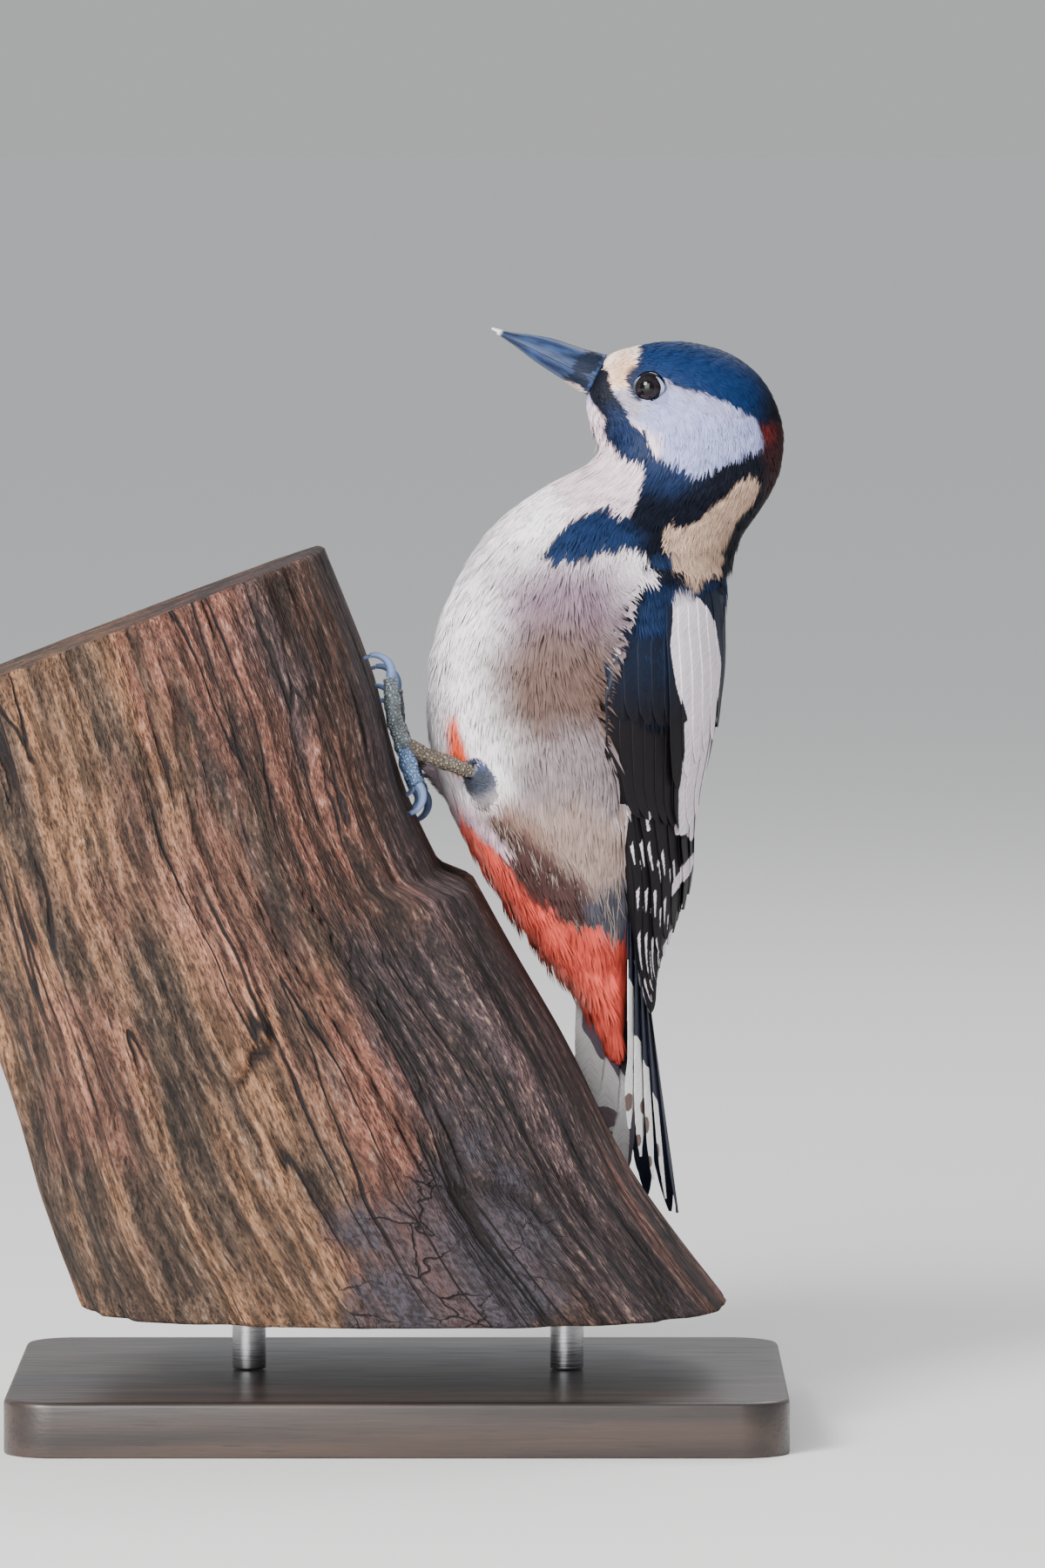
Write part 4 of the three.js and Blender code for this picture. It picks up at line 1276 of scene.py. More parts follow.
@dataclass
class Coat:
    """The body feathers, in tracts from the bill to the tail."""

    finish: Material
    tracts: tuple[Tract, ...] = (
        Tract("coat_face", Slot.HEAD, (0.1, 3.2), 5, 2, 0.27, 0.7),
        Tract("coat_crown", Slot.HEAD, (3.2, 6.2), 8, 2, 0.24, 0.9),
        Tract("coat_nape", Slot.HEAD, (6.2, 8.6), 9, 3, 0.25, 1.1),
        Tract("coat_neck", Slot.NECK, (8.6, 11.4), 13, 3, 0.25, 1.3),
        Tract("coat_breast", Slot.BODY, (11.4, 15.2), 15, 3, 0.25, 1.6),
        Tract("coat_belly", Slot.BODY, (15.2, 18.8), 15, 3, 0.24, 1.8),
        Tract("coat_vent", Slot.BODY, (18.8, 22.7), 13, 3, 0.21, 1.6),
    )
    cells: tuple[int, int] = (60, 180)
    wisp_count: int = 9000
    wisp_rings: tuple[float, float] = (11.4, 20.6)

    def roots(self, tract: Tract, rng: Generator) -> tuple[Array, Array]:
        """Where the feathers of a tract grow.

        Args:
            tract: the tract.
            rng: the source of the jitter.

        Returns:
            Ring numbers and angles.
        """
        m, n = self.cells
        u = mix(*tract.u, (np.arange(m) + 0.5) / m)[:, None]
        v = ((np.arange(n) + 0.5) / n * 2 - 1)[None, :] * np.pi
        along, across, _ = BODY.frame(u, v)
        area = np.linalg.norm(np.cross(along, across), axis=-1)
        area = area * (tract.u[1] - tract.u[0]) / m * 2 * np.pi / n
        weight = area / (tract.spacing * feather_length(u, v)) ** 2 * self.shown(u, v)
        row, column = scatter(weight, int(weight.sum()), rng)
        return mix(*tract.u, (row + 0.5) / m), ((column + 0.5) / n * 2 - 1) * np.pi

    def shown(self, u: Array, v: Array) -> Array:
        """1 where feathers grow and 0 under the folded wings and in the eyes.

        Args:
            u: ring numbers.
            v: angles in radians from the back.

        Returns:
            Shares of 0 or 1.
        """
        place = BODY.point(u, np.abs(v))
        share, beyond = WING_COVER.place(place)
        covered = (share < 0.995) & (beyond < 80) & (past_flank(u, v) > 0.3)
        eye = np.hypot((place[..., 0] - EYE[0]) / 4.1, (place[..., 2] - EYE[1]) / 3.7)
        return np.where(covered | ((eye < 1) & (u < 6)), 0.0, 1.0)

    def comb(self, u: Array, v: Array) -> Array:
        """How far the feathers are combed off the lie: backwards over the wing's edge at the flank.

        Args:
            u: ring numbers.
            v: angles in radians from the back.

        Returns:
            Angles in radians.
        """
        side = np.degrees(np.abs(v))
        flank = ramp(side, 55, 84) * ramp(side, 135, 100) * ramp(u, 11.2, 12.4) * ramp(u, 16.8, 14.6)
        return -np.sign(v) * np.radians(50) * flank

    def fluff(self, u: Array, v: Array, rng: Generator) -> Array:
        """How far the feathers' tips stand off: most at the vent and the throat, a little on the breast.

        Args:
            u: ring numbers.
            v: angles in radians from the back.
            rng: the source of each feather's own share.

        Returns:
            Heights in millimetres.
        """
        side = np.degrees(np.abs(v))
        vent = ramp(u, 17.5, 19.5) * ramp(side, 75, 120) * ramp(u, 22.7, 21.8)
        throat = ramp(u, 0.6, 1.4) * ramp(u, 5.5, 4.0) * ramp(side, 120, 150)
        breast = ramp(u, 10, 12) * ramp(side, 120, 150)
        return -0.1 + rng.uniform(0, 1, len(u)) ** 3 * (3.4 * vent + 1.8 * throat + 0.5 * breast)

    def trimmed(self, path: Array, where: Array, rng: Generator) -> tuple[Array, Array]:
        """Strands that would run far over the wing, drawn in towards their roots.

        Args:
            path: points of each feather's strands.
            where: u and v of those points.
            rng: the source of each strand's own reach.

        Returns:
            The shorter paths, and for each strand the place that its colour is read from.
        """
        past = past_flank(where[..., 0], where[..., 1])
        first, last = past[..., 0], past[..., -1]
        shoulder = ramp(path[:, :, 0, 2], 166, 176)
        reach = rng.uniform(0, 1, first.shape) ** 4 * mix(1.6, 3.6, shoulder) - mix(0.8, 1.9, shoulder)
        share = np.clip((reach - first) / np.maximum(last - first, 0.01), 0.12, 1)
        share = np.where((last > reach) & (last > first), share, 1.0)[..., None, None]
        path = path[:, :, :1] + (path - path[:, :, :1]) * share
        middle = 2 if path.shape[2] > 3 else 1
        seen = where[:, :, middle]
        return path, np.where((past[..., middle] > -0.6)[..., None], where[:, :, 0], seen)

    def wisps(self) -> None:
        """Single pale strands, loose over the dark lower belly and across the wing's front edge."""
        rng = np.random.default_rng(SEED + 30)
        u, v = rng.uniform(*self.wisp_rings, self.wisp_count), rng.uniform(-np.pi, np.pi, self.wisp_count)
        past, side = past_flank(u, v), np.degrees(np.abs(v))
        fringe = (past > -2.4) & (past < -0.3) & (u < 14.8) & (side < 140)
        dark = body_colour(u, v).max(axis=-1) < 0.3
        lower = (u > 16.6) & (side > 70) & dark & (rng.uniform(0, 1, len(u)) < 0.5) & (past < -1)
        keep = fringe | lower
        u, v, fringe = u[keep], v[keep], fringe[keep]
        length = np.where(fringe, 6.5, 7.5) * rng.uniform(0.7, 1.15, len(u))
        comb = np.where(fringe, -np.sign(v) * np.radians(66 - 7 * (u - 11.4)), rng.normal(0, 0.2, len(u)))
        ones = np.ones_like(u)
        fans = Fans(BODY, u, v, length, comb, 2, 4, 0.1 * ones, 0.5 * ones, rng, 0.019)
        path, out, where = fans.paths()
        path, _ = self.trimmed(path, where, rng)
        tint = mix(rgb(0xA79A90), rgb(WHITE), fringe[:, None, None].astype(float))
        colour = np.broadcast_to(tint, (*path.shape[:2], 3))
        shape = fans.shape(WING_COVER.clear(path), out, colour, body_map(where), 0.8)
        place("coat_wisps", shape, self.finish, Slot.BODY)

    def build(self) -> None:
        """Makes every tract."""
        self.wisps()
        for number, tract in enumerate(self.tracts):
            rng = np.random.default_rng(SEED + number)
            u, v = self.roots(tract, rng)
            ones = np.ones_like(u)
            fans = Fans(BODY, u, v, feather_length(u, v), self.comb(u, v), tract.strands, tract.stations,
                        tract.depth * ones, self.fluff(u, v, rng), rng, folds=0.75)
            path, out, where = fans.paths()
            path, seen = self.trimmed(path, where, rng)
            colour = body_colour(seen[..., 0], seen[..., 1])
            shape = fans.shape(WING_COVER.clear(path), out, colour, body_map(where))
            place(tract.name, shape, self.finish, tract.slot)


# ---- Wings and tail --------------------------------------------------------------------------------


@dataclass(frozen=True)
class VaneFinish:
    """Flight feathers: dark or pale by the signed distance they carry, with the ribs of their barbs."""

    name: str
    light: Triple
    roughness: tuple[float, float] = (0.52, 0.75)
    # In metres: the barbs' ribs, how soft the edge between dark and pale is, and how ragged.
    barb_length: float = 0.0028
    barb_pitch: float = 0.00042
    barb_height: float = 0.00006
    edge: float = 0.0001
    edge_noise: float = 0.00022

    def build(self) -> Material:
        """The finish as a material.

        Returns:
            The material.
        """
        made, tree, shader = material(self.name, Specular_IOR_Level=0.2)
        vane = tree.carried("vane", "Vector")
        barbs = tree.noise(vane, (1 / self.barb_length, 1 / self.barb_pitch, 1.0), 2)
        fringe = tree.maths("MULTIPLY_ADD", barbs, 2 * self.edge_noise, -self.edge_noise)
        pale = tree.maths("ADD", tree.carried("pale"), fringe)
        share = tree.steps(pale, -self.edge, self.edge)
        colour = tree.blend(share, tree.carried("pigment", "Color"), self.light)
        tint = tree.steps(barbs, 0.25, 0.75, (0.8, 1.15))
        tree.feed(shader, "Base Color", tree.tinted(colour, tint))
        tree.feed(shader, "Roughness", tree.steps(share, 0.0, 1.0, self.roughness))
        tree.feed(shader, "Normal", tree.bump(barbs, self.barb_height))
        return made


@dataclass(frozen=True)
class Tier:
    """A row of overlapping vanes.

    Roots and tips are a height and degrees from the back, of the first vane, by the back, and of the last,
    by the flank.
    """

    number: int
    width: float
    depth: float
    roots: tuple[tuple[float, float], tuple[float, float]]
    tips: tuple[tuple[float, float], tuple[float, float]]
    roundness: float = 7.0
    barred: bool = False


VANE_COLUMNS = np.array(
    [-1, -0.93, -0.78, -0.6, -0.42, -0.25, -0.11, 0, 0.11, 0.25, 0.42, 0.6, 0.78, 0.93, 1]
)


def vane_plate(top: Array, out: Array, across: Array, along: Array, extra: dict[str, Array]) -> Shape:
    """A feather's thin vane from the grid of its upper face.

    The lower face lies under the upper one by 0.1 mm at the edges and 0.32 mm at the shaft.

    Args:
        top: grid of points.
        out: outward ways there.
        across: millimetres across the vane from its shaft.
        along: millimetres along it.
        extra: more values of the same grid, and "kind", a number that tells one feather's barbs from
            another's.

    Returns:
        A closed plate.
    """
    thickness = mix(0.32, 0.1, np.abs(VANE_COLUMNS))[None, :, None]
    kind = np.broadcast_to(extra.pop("kind"), across.shape)
    slanted = along - 0.9 * np.abs(across)
    vane = np.stack([np.abs(across) * MM, slanted * MM, kind], axis=-1)
    return shell(top, top - out * thickness, {"vane": vane, **extra})


@dataclass
class Wing:
    """One folded wing: its arm, the tiers of vanes and the small coverts over the shoulder."""

    name: str
    side: int
    finish: Material
    plumage: Material
    rows: int = 64
    tilt: float = 0.34
    tiers: tuple[Tier, ...] = (
        Tier(9, 7.6, -2.3, ((156, 45), (164, 88)), ((119, 24), (97, 92)), 4.5, barred=True),
        Tier(7, 8.8, -1.6, ((164, 20), (170, 78)), ((131, 12), (112, 66)), 6.0, barred=True),
        Tier(3, 10.5, -1.0, ((172, 24), (172, 50)), ((129, 17), (122, 36)), 6.0, barred=True),
        Tier(7, 7.8, -0.6, ((186, 60), (184, 91)), ((142, 54), (146, 90))),
        Tier(4, 10.0, -0.2, ((174, 28), (172, 56)), ((147, 22), (139.5, 50))),
        Tier(6, 7.6, 0.1, ((196, 62), (192, 90)), ((166, 60), (169, 90))),
        Tier(6, 8.6, 0.6, ((204, 42), (203, 68)), ((166, 28), (152, 60))),
    )
    # The long white patch as seen from the left.
    patch: Outline = (
        (66.2, 199.6), (68.6, 199.4), (71.6, 197.3), (74.3, 192.2), (75.8, 184), (76.2, 181.2), (75.2, 172),
        (74.6, 164.2), (74.0, 158), (73.1, 152.0), (72.3, 143), (71.6, 139.6), (70.8, 138.6), (69.3, 141.0),
        (68.3, 140.6), (67.3, 140.5), (66.9, 146), (66.8, 152.0), (67.4, 161.1), (67.0, 168.2),
        (68.2, 168.4), (66.9, 172.0), (65.3, 176.4), (64.3, 181.0), (63.4, 186.3), (64.3, 192.0),
        (65.2, 197),
    )
    # More white marks: two tips of coverts, a slanted tip and the tip under it.
    tips: tuple[Outline, ...] = (
        ((54.6, 148.8), (56.3, 144.9), (55.1, 142.9), (54.4, 145.7)),
        ((59.7, 146.9), (60.3, 146.7), (61.1, 142.0), (60.4, 142.0)),
        ((71.6, 135.8), (71.8, 134.2), (70.8, 131.1), (69.0, 128.7), (67.4, 126.3), (66.6, 124.9),
         (66.8, 127.1), (67.4, 129.5), (68.6, 131.8), (69.8, 134.2)),
        ((68.0, 118.0), (67.8, 116.0), (66.2, 112.1), (65.2, 110.1), (65.4, 112.8), (66.2, 115.6)),
    )
    # Where the flight feathers are barred, and the bars' first height and pitch.
    barred: Outline = (
        (56.4, 142), (66.4, 139), (68.0, 131), (66.0, 118), (64.2, 108), (62.4, 99), (60, 93), (58.6, 96),
        (58.4, 110), (57.6, 125), (56.5, 135),
    )
    covert_rows: tuple[float, float] = (0.1, 3.9)
    covert_degrees: tuple[float, float] = (22, 94)
    bar_top: float = 139.9
    bar_period: float = 11.3
    # The near row of bars and one further in: ends across the web, how much lower, and how tall a share.
    bars: tuple[tuple[float, ...], ...] = ((0.62, 0.9, 0.0, 0.6), (0.2, 0.4, 4.2, 0.42))
    # The depth of the arm's face low and high on it, and its rows: height, degrees drawn in, depth sunk.
    arm_depth: tuple[float, float] = (-2.0, -0.4)
    arm_rows: tuple[Triple, ...] = (
        (208, 14, 2.2), (205, 5, 0.6), (199, 0, 0), (190, 0, 0), (181, 0, 0), (166, 0, 0), (150, 0, 0),
    )

    def __post_init__(self) -> None:
        """Takes the wing's own face."""
        self.face = WingFace(self.side)

    def pale(self, tier: Tier, height: Array, degrees: Array, c: Array, rng: Generator) -> Array:
        """Signed distance in metres to the white marks, positive in them.

        The patch is an outline as seen from the left. The bars are bands of the height, each drawn back at
        the shaft and a little higher towards the flank.

        Args:
            tier: the vane's tier.
            height: heights of the grid.
            degrees: degrees from the back of the grid.
            c: place across the vane, from its back edge -1 to its flank edge 1.
            rng: the source of each vane's own shift.

        Returns:
            Distances of the same grid.
        """
        distance = np.full(height.shape, -4.0)
        seen = WingFace(1).at(height, degrees, 0.0)[..., [0, 2]]
        for outline in (self.patch, *self.tips):
            distance = np.maximum(distance, inside(seen, np.array(outline)))
        if tier.barred:
            where = inside(seen, np.array(self.barred))
            level = height + 5 * (88 - degrees) / 58 + rng.uniform(-1.6, 1.6)
            second = rng.uniform(0, 1) < 0.6
            for inner, outer, shift, size in self.bars[:1 + second]:
                slanted = level + shift + 5.0 * (c - inner)
                phase = (self.bar_top - slanted) % self.bar_period
                long = self.bar_period * (size + 0.3 * ramp(height, 118, 108) + rng.uniform(-0.08, 0.08))
                bar = np.minimum(phase, long - phase) * 0.6
                taper = 0.35 * (outer - inner) * np.clip(phase / long, 0, 1)
                web = np.minimum(c - inner - 0.6 * taper, outer - c - taper) * tier.width / 2
                sliver = np.minimum(np.minimum(bar, web), self.bar_top + 0.4 - slanted)
                distance = np.maximum(distance, np.minimum(sliver, where))
        return distance * MM

    def tucked(self, height: Array, degrees: Array, across: Array) -> Array:
        """How much deeper the wing lies where the flank's feathers cover its front edge."""
        return 3.2 * ramp(self.past(height, degrees, across), 1.0, -1.2)

    def past(self, height: Array, degrees: Array, across: Array) -> Array:
        """How far places of the wing lie behind the edge of the flank's feathers."""
        return behind_edge(WingFace(1).at(height, degrees, 0.0, across))

    def vane(self, tier: Tier, share: float, rng: Generator) -> Shape:
        """One vane of a tier, from its sunk root to its round tip, its flank edge lifted.

        Args:
            tier: its tier.
            share: where it is in the tier, from the back to the flank.
            rng: the source of its own shade and bars.

        Returns:
            A closed plate.
        """
        root, tip = (mix(np.array(ends[0]), np.array(ends[1]), share) for ends in (tier.roots, tier.tips))
        t = np.sin(np.linspace(0, 0.5, self.rows) * np.pi)[:, None]
        c = VANE_COLUMNS[None, :]
        length = root[0] - tip[0]
        half = tier.width / 2 * (0.55 + 0.45 * ramp(t, 0, 0.3)) * np.sqrt(1.003 - t**tier.roundness)
        ragged = noise(np.stack([t * length / 1.6, 3 + 0 * t, 9 * share + t], -1))
        notch = ramp(np.abs(c), 0.5, 1) * ragged * 0.03
        across = half * c * (1 - notch * ramp(t, 0.2, 0.5))
        height = mix(root[0], tip[0], t)
        degrees = mix(root[1], tip[1], t)
        over = np.maximum(-self.past(height, degrees, across), 0)
        over = over * ramp(height, 134, 126) * ramp(degrees, 50, 60)
        across = across - 1.08 * over
        raised = ramp(t, 0, 0.25)
        arm = mix(*self.arm_depth, ramp(height, 182, 192))
        middle = mix(np.minimum(arm - 0.5, tier.depth), tier.depth, raised)
        shaft = 0.14 * np.exp(-((c / 0.09) ** 2))
        camber = -0.3 * c**2 * (tier.width / 8)
        depth = middle + self.tilt * c * raised + camber + shaft
        depth = depth - self.tucked(height, degrees, across)
        top = self.face.at(height, degrees, depth, across)
        out = unit(self.face.at(height, degrees, depth + 1, across) - top)
        seen = degrees + np.degrees(across / 30)
        # The blue higher up and towards the back is the dark vanes' painted blue sheen.
        dark = mix(rgb(0x100C10), rgb(0x111A2C), ramp(height, 164, 186)[..., None])
        dark = mix(dark, rgb(0x141A2A), ramp(degrees, 30, 20)[..., None])
        grid = np.broadcast_to(dark * (1 + rng.normal(0, 0.08)), (*top.shape[:2], 3))
        values = {
            "kind": share * 7 + tier.depth,
            "pale": self.pale(tier, *np.broadcast_arrays(height, seen), c, rng),
            "pigment": grid.copy(),
        }
        return vane_plate(top, out, across, np.broadcast_to(t * length, across.shape), values)

    def arm(self) -> Shape:
        """The arm from the shoulder down to the flight feathers' roots, a slab with a rounded top.

        Returns:
            A closed slab.
        """
        rows = np.array(self.arm_rows)
        at = np.linspace(0, len(rows) - 1, 40)
        height, drawn, sunk = (spline(rows, at)[:, k, None] for k in range(3))
        k = np.linspace(0, 1, 30)[None, :]
        first = mix(20, 40, ramp(height, 150, 176)) + drawn
        last = 92 - 8 * ramp(height, 170, 205) - 12 * (1 - ramp(height, 150, 166)) - drawn
        outer = mix(*self.arm_depth, ramp(height, 182, 192)) - sunk - 0.3
        outer = outer - self.tucked(height, mix(first, last, k), 0.0)
        faces = [self.face.at(height, mix(first, last, k), depth) for depth in (outer, -6.5)]
        blank = np.zeros(faces[0].shape[:2])
        dark = one_colour(0x14161F, blank.shape)
        vane = np.stack([blank, blank, blank], axis=-1)
        return shell(*faces, {"vane": vane, "pale": blank - 1, "pigment": dark})

    def coverts(self) -> Shape:
        """The small coverts: fans on the wing's face, white in the patch and cream in the collar.

        Returns:
            Closed strands as one shape.
        """
        rng = np.random.default_rng(SEED + 50)
        m, n = 40, 60
        rows, spread = self.covert_rows, self.covert_degrees
        u = mix(*rows, (np.arange(m) + 0.5) / m)[:, None]
        v = np.radians(mix(*spread, (np.arange(n) + 0.5) / n))[None, :]
        front = ramp(np.degrees(v), 46, 60) + ramp(u, 1.1, 0.7)
        edge = 90 - 8 * ramp(210 - 10 * u, 170, 205)
        weight = np.clip(front, 0, 1) * ramp(u, 3.6, 2.9) * 0.11
        weight = weight * ramp(np.degrees(v), edge + 0.5, edge - 1.5)
        row, column = scatter(weight, int(weight.sum() * 1.9), rng)
        u, v = mix(*rows, (row + 0.5) / m), np.radians(mix(*spread, (column + 0.5) / n))
        length = 6.5 + 1.2 * u
        ones = np.ones_like(u)
        comb = -np.radians(12) * ramp(np.degrees(v), 50, 90)
        lift = 0.25 * ramp(np.degrees(v), 34, 56)
        fans = Fans(self.face, u, v, length, comb, 13, 3, 0.9 * ones, lift, rng)
        path, out, where = fans.paths()
        seen = WingFace(1).point(where[:, :, 2, 0], where[:, :, 2, 1])[..., [0, 2]]
        share = ramp(inside(seen, np.array(self.patch)), -0.4, 0.4)[..., None]
        # The navy near the shoulder is the black coverts' painted blue sheen.
        dark = mix(rgb(0x1B2B4A), rgb(BLACK), ramp(where[:, :, 2, 0], 2.2, 3.8)[..., None])
        home = where[:, :, 0].reshape(-1, 2) * np.array([0.05, 0.3])
        cream = ramp(inside(seen, np.array(COLLAR)), -0.4, 0.4)[..., None]
        colour = mix(mix(dark, rgb(0xDCD0DC), share), rgb(CREAM), cream)
        return fans.shape(path, out, colour, home)

    def build(self) -> None:
        """Makes the wing's two pieces."""
        shapes = [self.arm()]
        for number, tier in enumerate(self.tiers):
            rng = np.random.default_rng(SEED + 10 * number)
            shapes += [self.vane(tier, i / (tier.number - 1), rng) for i in range(tier.number)]
        place(f"wing_{self.name}_vanes", joined(shapes), self.finish, Slot.WING, (f"wing_{self.name}",))
        place(f"wing_{self.name}_coverts", self.coverts(), self.plumage, Slot.WING)


# Where the tail's root lies (back, height), how far it runs back for each step down, and its arch's radius.
TAIL_ROOT = (-11.05, 116.0)
TAIL_LEAN = 0.168
TAIL_ARCH = 37.5


def tail_point(down: Array, across: Array, lift: Array) -> Array:
    """The tail's upper face, an arch that is already sloped where its two halves meet.

    Args:
        down: distance below the tail's root.
        across: distance along the arch to the bird's left.
        lift: distance out of the face.

    Returns:
        Points in the frame.
    """
    down, across, lift = np.broadcast_arrays(down, across, lift)
    ridge = np.radians(5.1 + 0.42 * down)
    slope = ridge + np.abs(across) / TAIL_ARCH
    drop = TAIL_ARCH * (np.cos(ridge) - np.cos(slope)) - lift * np.cos(slope)
    out = TAIL_ARCH * (np.sin(slope) - np.sin(ridge)) + lift * np.sin(slope)
    back = TAIL_ROOT[0] + TAIL_LEAN * down - drop
    return bird_point(back, np.sign(across) * out, TAIL_ROOT[1] - down)


class RumpFace(Surface):
    """The upper tail coverts: u is the row of the table, v the angle from the top to the left."""

    # Down from the tail's root, half width, rise over the feathers.
    rows = np.array([
        [-9, 3.2, 2.4],
        [-4, 6.8, 3.8],
        [2, 8.4, 4.2],
        [8, 7.6, 3.6],
        [13, 5.4, 2.6],
        [17, 2.4, 1.7],
    ])

    def point(self, u: Array, v: Array, out: Array = 0.0) -> Array:
        """Points at row u and angle v, moved outwards.

        Args:
            u: row numbers.
            v: angles in radians from the top.
            out: distance outwards.

        Returns:
            Points in the frame.
        """
        u, v, out = np.broadcast_arrays(u, v, out)
        down, reach, rise = np.moveaxis(spline(self.rows, np.clip(u, 0, 5)), -1, 0)
        return tail_point(down, (reach + out) * np.sin(v), (rise + out) * np.cos(v) - 1.6)


# Middle below the root and across the vane, half length and half width, in millimetres.
Spot = tuple[float, float, float, float]


@dataclass(frozen=True)
class TailFeather:
    """One of the six feathers of each half of the tail.

    The white of its outer web begins some way below its root and has dark spots, and it does both in its
    own way on the far side.
    """

    root: float
    fan: float
    length: float
    width: float
    white_from: float = 99.0
    white_web: float = -1.2
    spots: tuple[Spot, ...] = ()
    far_white_from: float = 99.0
    far_spots: tuple[Spot, ...] = ()


@dataclass
class Tail:
    """Twelve stiff feathers, the middle ones over the others, and the coverts at their root."""

    finish: Material
    plumage: Material
    rows: int = 72
    step: float = 0.75
    start: float = -4.0
    vent_edge: float = 54.7
    slants: tuple[float, float] = (2.4, 5.0)
    # Root across the tail, degrees fanned out, length and width, then the white and its spots.
    feathers: tuple[TailFeather, ...] = (
        TailFeather(1.5, 1.0, 68, 8.2),
        TailFeather(5.0, 2.7, 64, 8.8, 41, 0.05, ((52, 3.4, 1.7, 1.2),)),
        TailFeather(8.0, 4.6, 59, 9.2, 32, -0.5, ((45.5, 3.4, 2.0, 1.7), (54.5, 2.2, 1.4, 1.5)), 34),
        TailFeather(11.0, 6.6, 53, 9.6, 26, -1.2, ((41.0, -1.4, 2.0, 2.4), (49.0, 1.8, 1.5, 1.6)), 31,
                    ((45.5, 0.5, 2.6, 4.6), (51.0, -1.5, 2.2, 1.6))),
        TailFeather(13.7, 8.8, 46, 9.4, 12, -1.2, ((31.0, -2.0, 2.0, 2.2), (39.5, 1.6, 2.2, 2.2)), 27,
                    ((43.5, 0.0, 2.0, 5.0),)),
        TailFeather(14.9, 9.8, 20, 4.8, 8, -1.2, (), 8),
    )

    def vane(self, side: int, number: int) -> Shape:
        """One tail feather, under the one next to it towards the middle.

        Args:
            side: 1 for the left and -1 for the right.
            number: the feather's number, from the middle of the tail out.

        Returns:
            A closed plate.
        """
        feather = self.feathers[number]
        rng = np.random.default_rng(SEED + number)
        t = np.sin(np.linspace(0, 0.5, self.rows) * np.pi)[:, None] ** 1.15
        c = VANE_COLUMNS[None, :]
        down = mix(self.start, feather.length, t)
        middle = feather.root + down * math.tan(math.radians(feather.fan))
        worn = 0.025 * noise(np.stack([t * 40, 2 + 0 * t, number + 0 * t], -1)) * ramp(t, 0.3, 0.9)
        half = feather.width / 2 * (0.6 + 0.4 * ramp(t, 0, 0.35)) * (1 - 0.86 * t**6 + worn)
        low = np.maximum(middle - half, 0.4 if number else -0.6)
        high = middle + half
        across = mix(low, high, (c + 1) / 2)
        raised = 0.3 * c - self.step * number - 0.25 * c**2 + 0.2 * np.exp(-((c / 0.09) ** 2))
        top = tail_point(down, side * across, raised)
        out = unit(tail_point(down, side * across, raised + 1) - top)
        bark = perch_face(top[..., 2], top[..., 1])[..., 0]
        top[..., 0] = np.maximum(top[..., 0], bark + 0.9)
        if side > 0:
            top[..., 0] += np.maximum(self.vent_edge - top[..., 0], 0) * ramp(top[..., 2], 80, 89)
        local = half * c
        wave = 0.8 * noise(np.stack([c * 1.7 + 0 * t, 0 * c + 0 * t, number + 0 * across], -1), 5)
        far = side < 0
        white_from, spots = feather.white_from, feather.spots
        if far:
            white_from, spots = feather.far_white_from, feather.far_spots
        slant = self.slants[far]
        distance = np.minimum(down - white_from + slant * c + wave, 3.0) + 0 * across
        distance = np.minimum(distance, (c - feather.white_web) * feather.width / 2)
        if far and number == 4:
            distance = np.maximum(distance, (c - 0.58) * feather.width / 2)
        nearest = np.full(across.shape, 9.0)
        for at, aside, long, wide in spots:
            away = np.hypot((down - at) / long, (local - aside) / wide) - 1
            nearest = np.minimum(nearest, away * min(long, wide))
        distance = np.minimum(distance, nearest)
        base = rgb(0x7A6E7C if far and number > 1 else 0x222637)
        spot = rgb(0x8E7F86 if far else 0x74605A)
        dark = mix(base, spot, ramp(nearest, 0.7, 0.2)[..., None])
        values = {"kind": number * 3.0, "pale": distance * MM, "pigment": dark * (1 + rng.normal(0, 0.05))}
        return vane_plate(top, out, local, np.broadcast_to(down, across.shape), values)

    def coverts(self) -> Shape:
        """The upper tail coverts and the end of the rump, black fans over a closed core.

        Returns:
            Closed strands as one shape.
        """
        rng = np.random.default_rng(SEED + 70)
        face = RumpFace()
        m, n = 30, 40
        weight = np.ones((m, n)) * 0.09
        row, column = scatter(weight, int(weight.sum()), rng)
        u, v = mix(0.2, 4.4, (row + 0.5) / m), np.radians(mix(-110, 110, (column + 0.5) / n))
        ones = np.ones_like(u)
        fans = Fans(face, u, v, 7.5 * ones, 0 * u, 13, 3, 0.8 * ones, 0.1 * ones, rng)
        path, out, where = fans.paths()
        colour = one_colour(0x15161C, path.shape[:2])
        return fans.shape(path, out, colour, where[:, :, 0].reshape(-1, 2) * 0.1 + 0.5)

    def core(self) -> Shape:
        """The closed body under the upper tail coverts.

        Returns:
            A closed body.
        """
        u, v = np.linspace(0, 5, 24)[:, None], circle(40, -np.pi)[None, :]
        points = RumpFace().point(u, v, -0.6)
        dark = one_colour(0x0E0E13, points.shape[:2])
        return tube(points, {"pigment": dark})

    def build(self) -> None:
        """Makes the vanes and the coverts."""
        vanes = [self.vane(side, number) for side in (1, -1) for number in range(len(self.feathers))]
        place("tail_vanes", joined(vanes), self.finish, Slot.TAIL, ("tail",))
        place("tail_core", self.core(), self.plumage, Slot.TAIL)
        place("tail_coverts", self.coverts(), self.plumage, Slot.TAIL)


# ---- Bill and eyes ---------------------------------------------------------------------------------


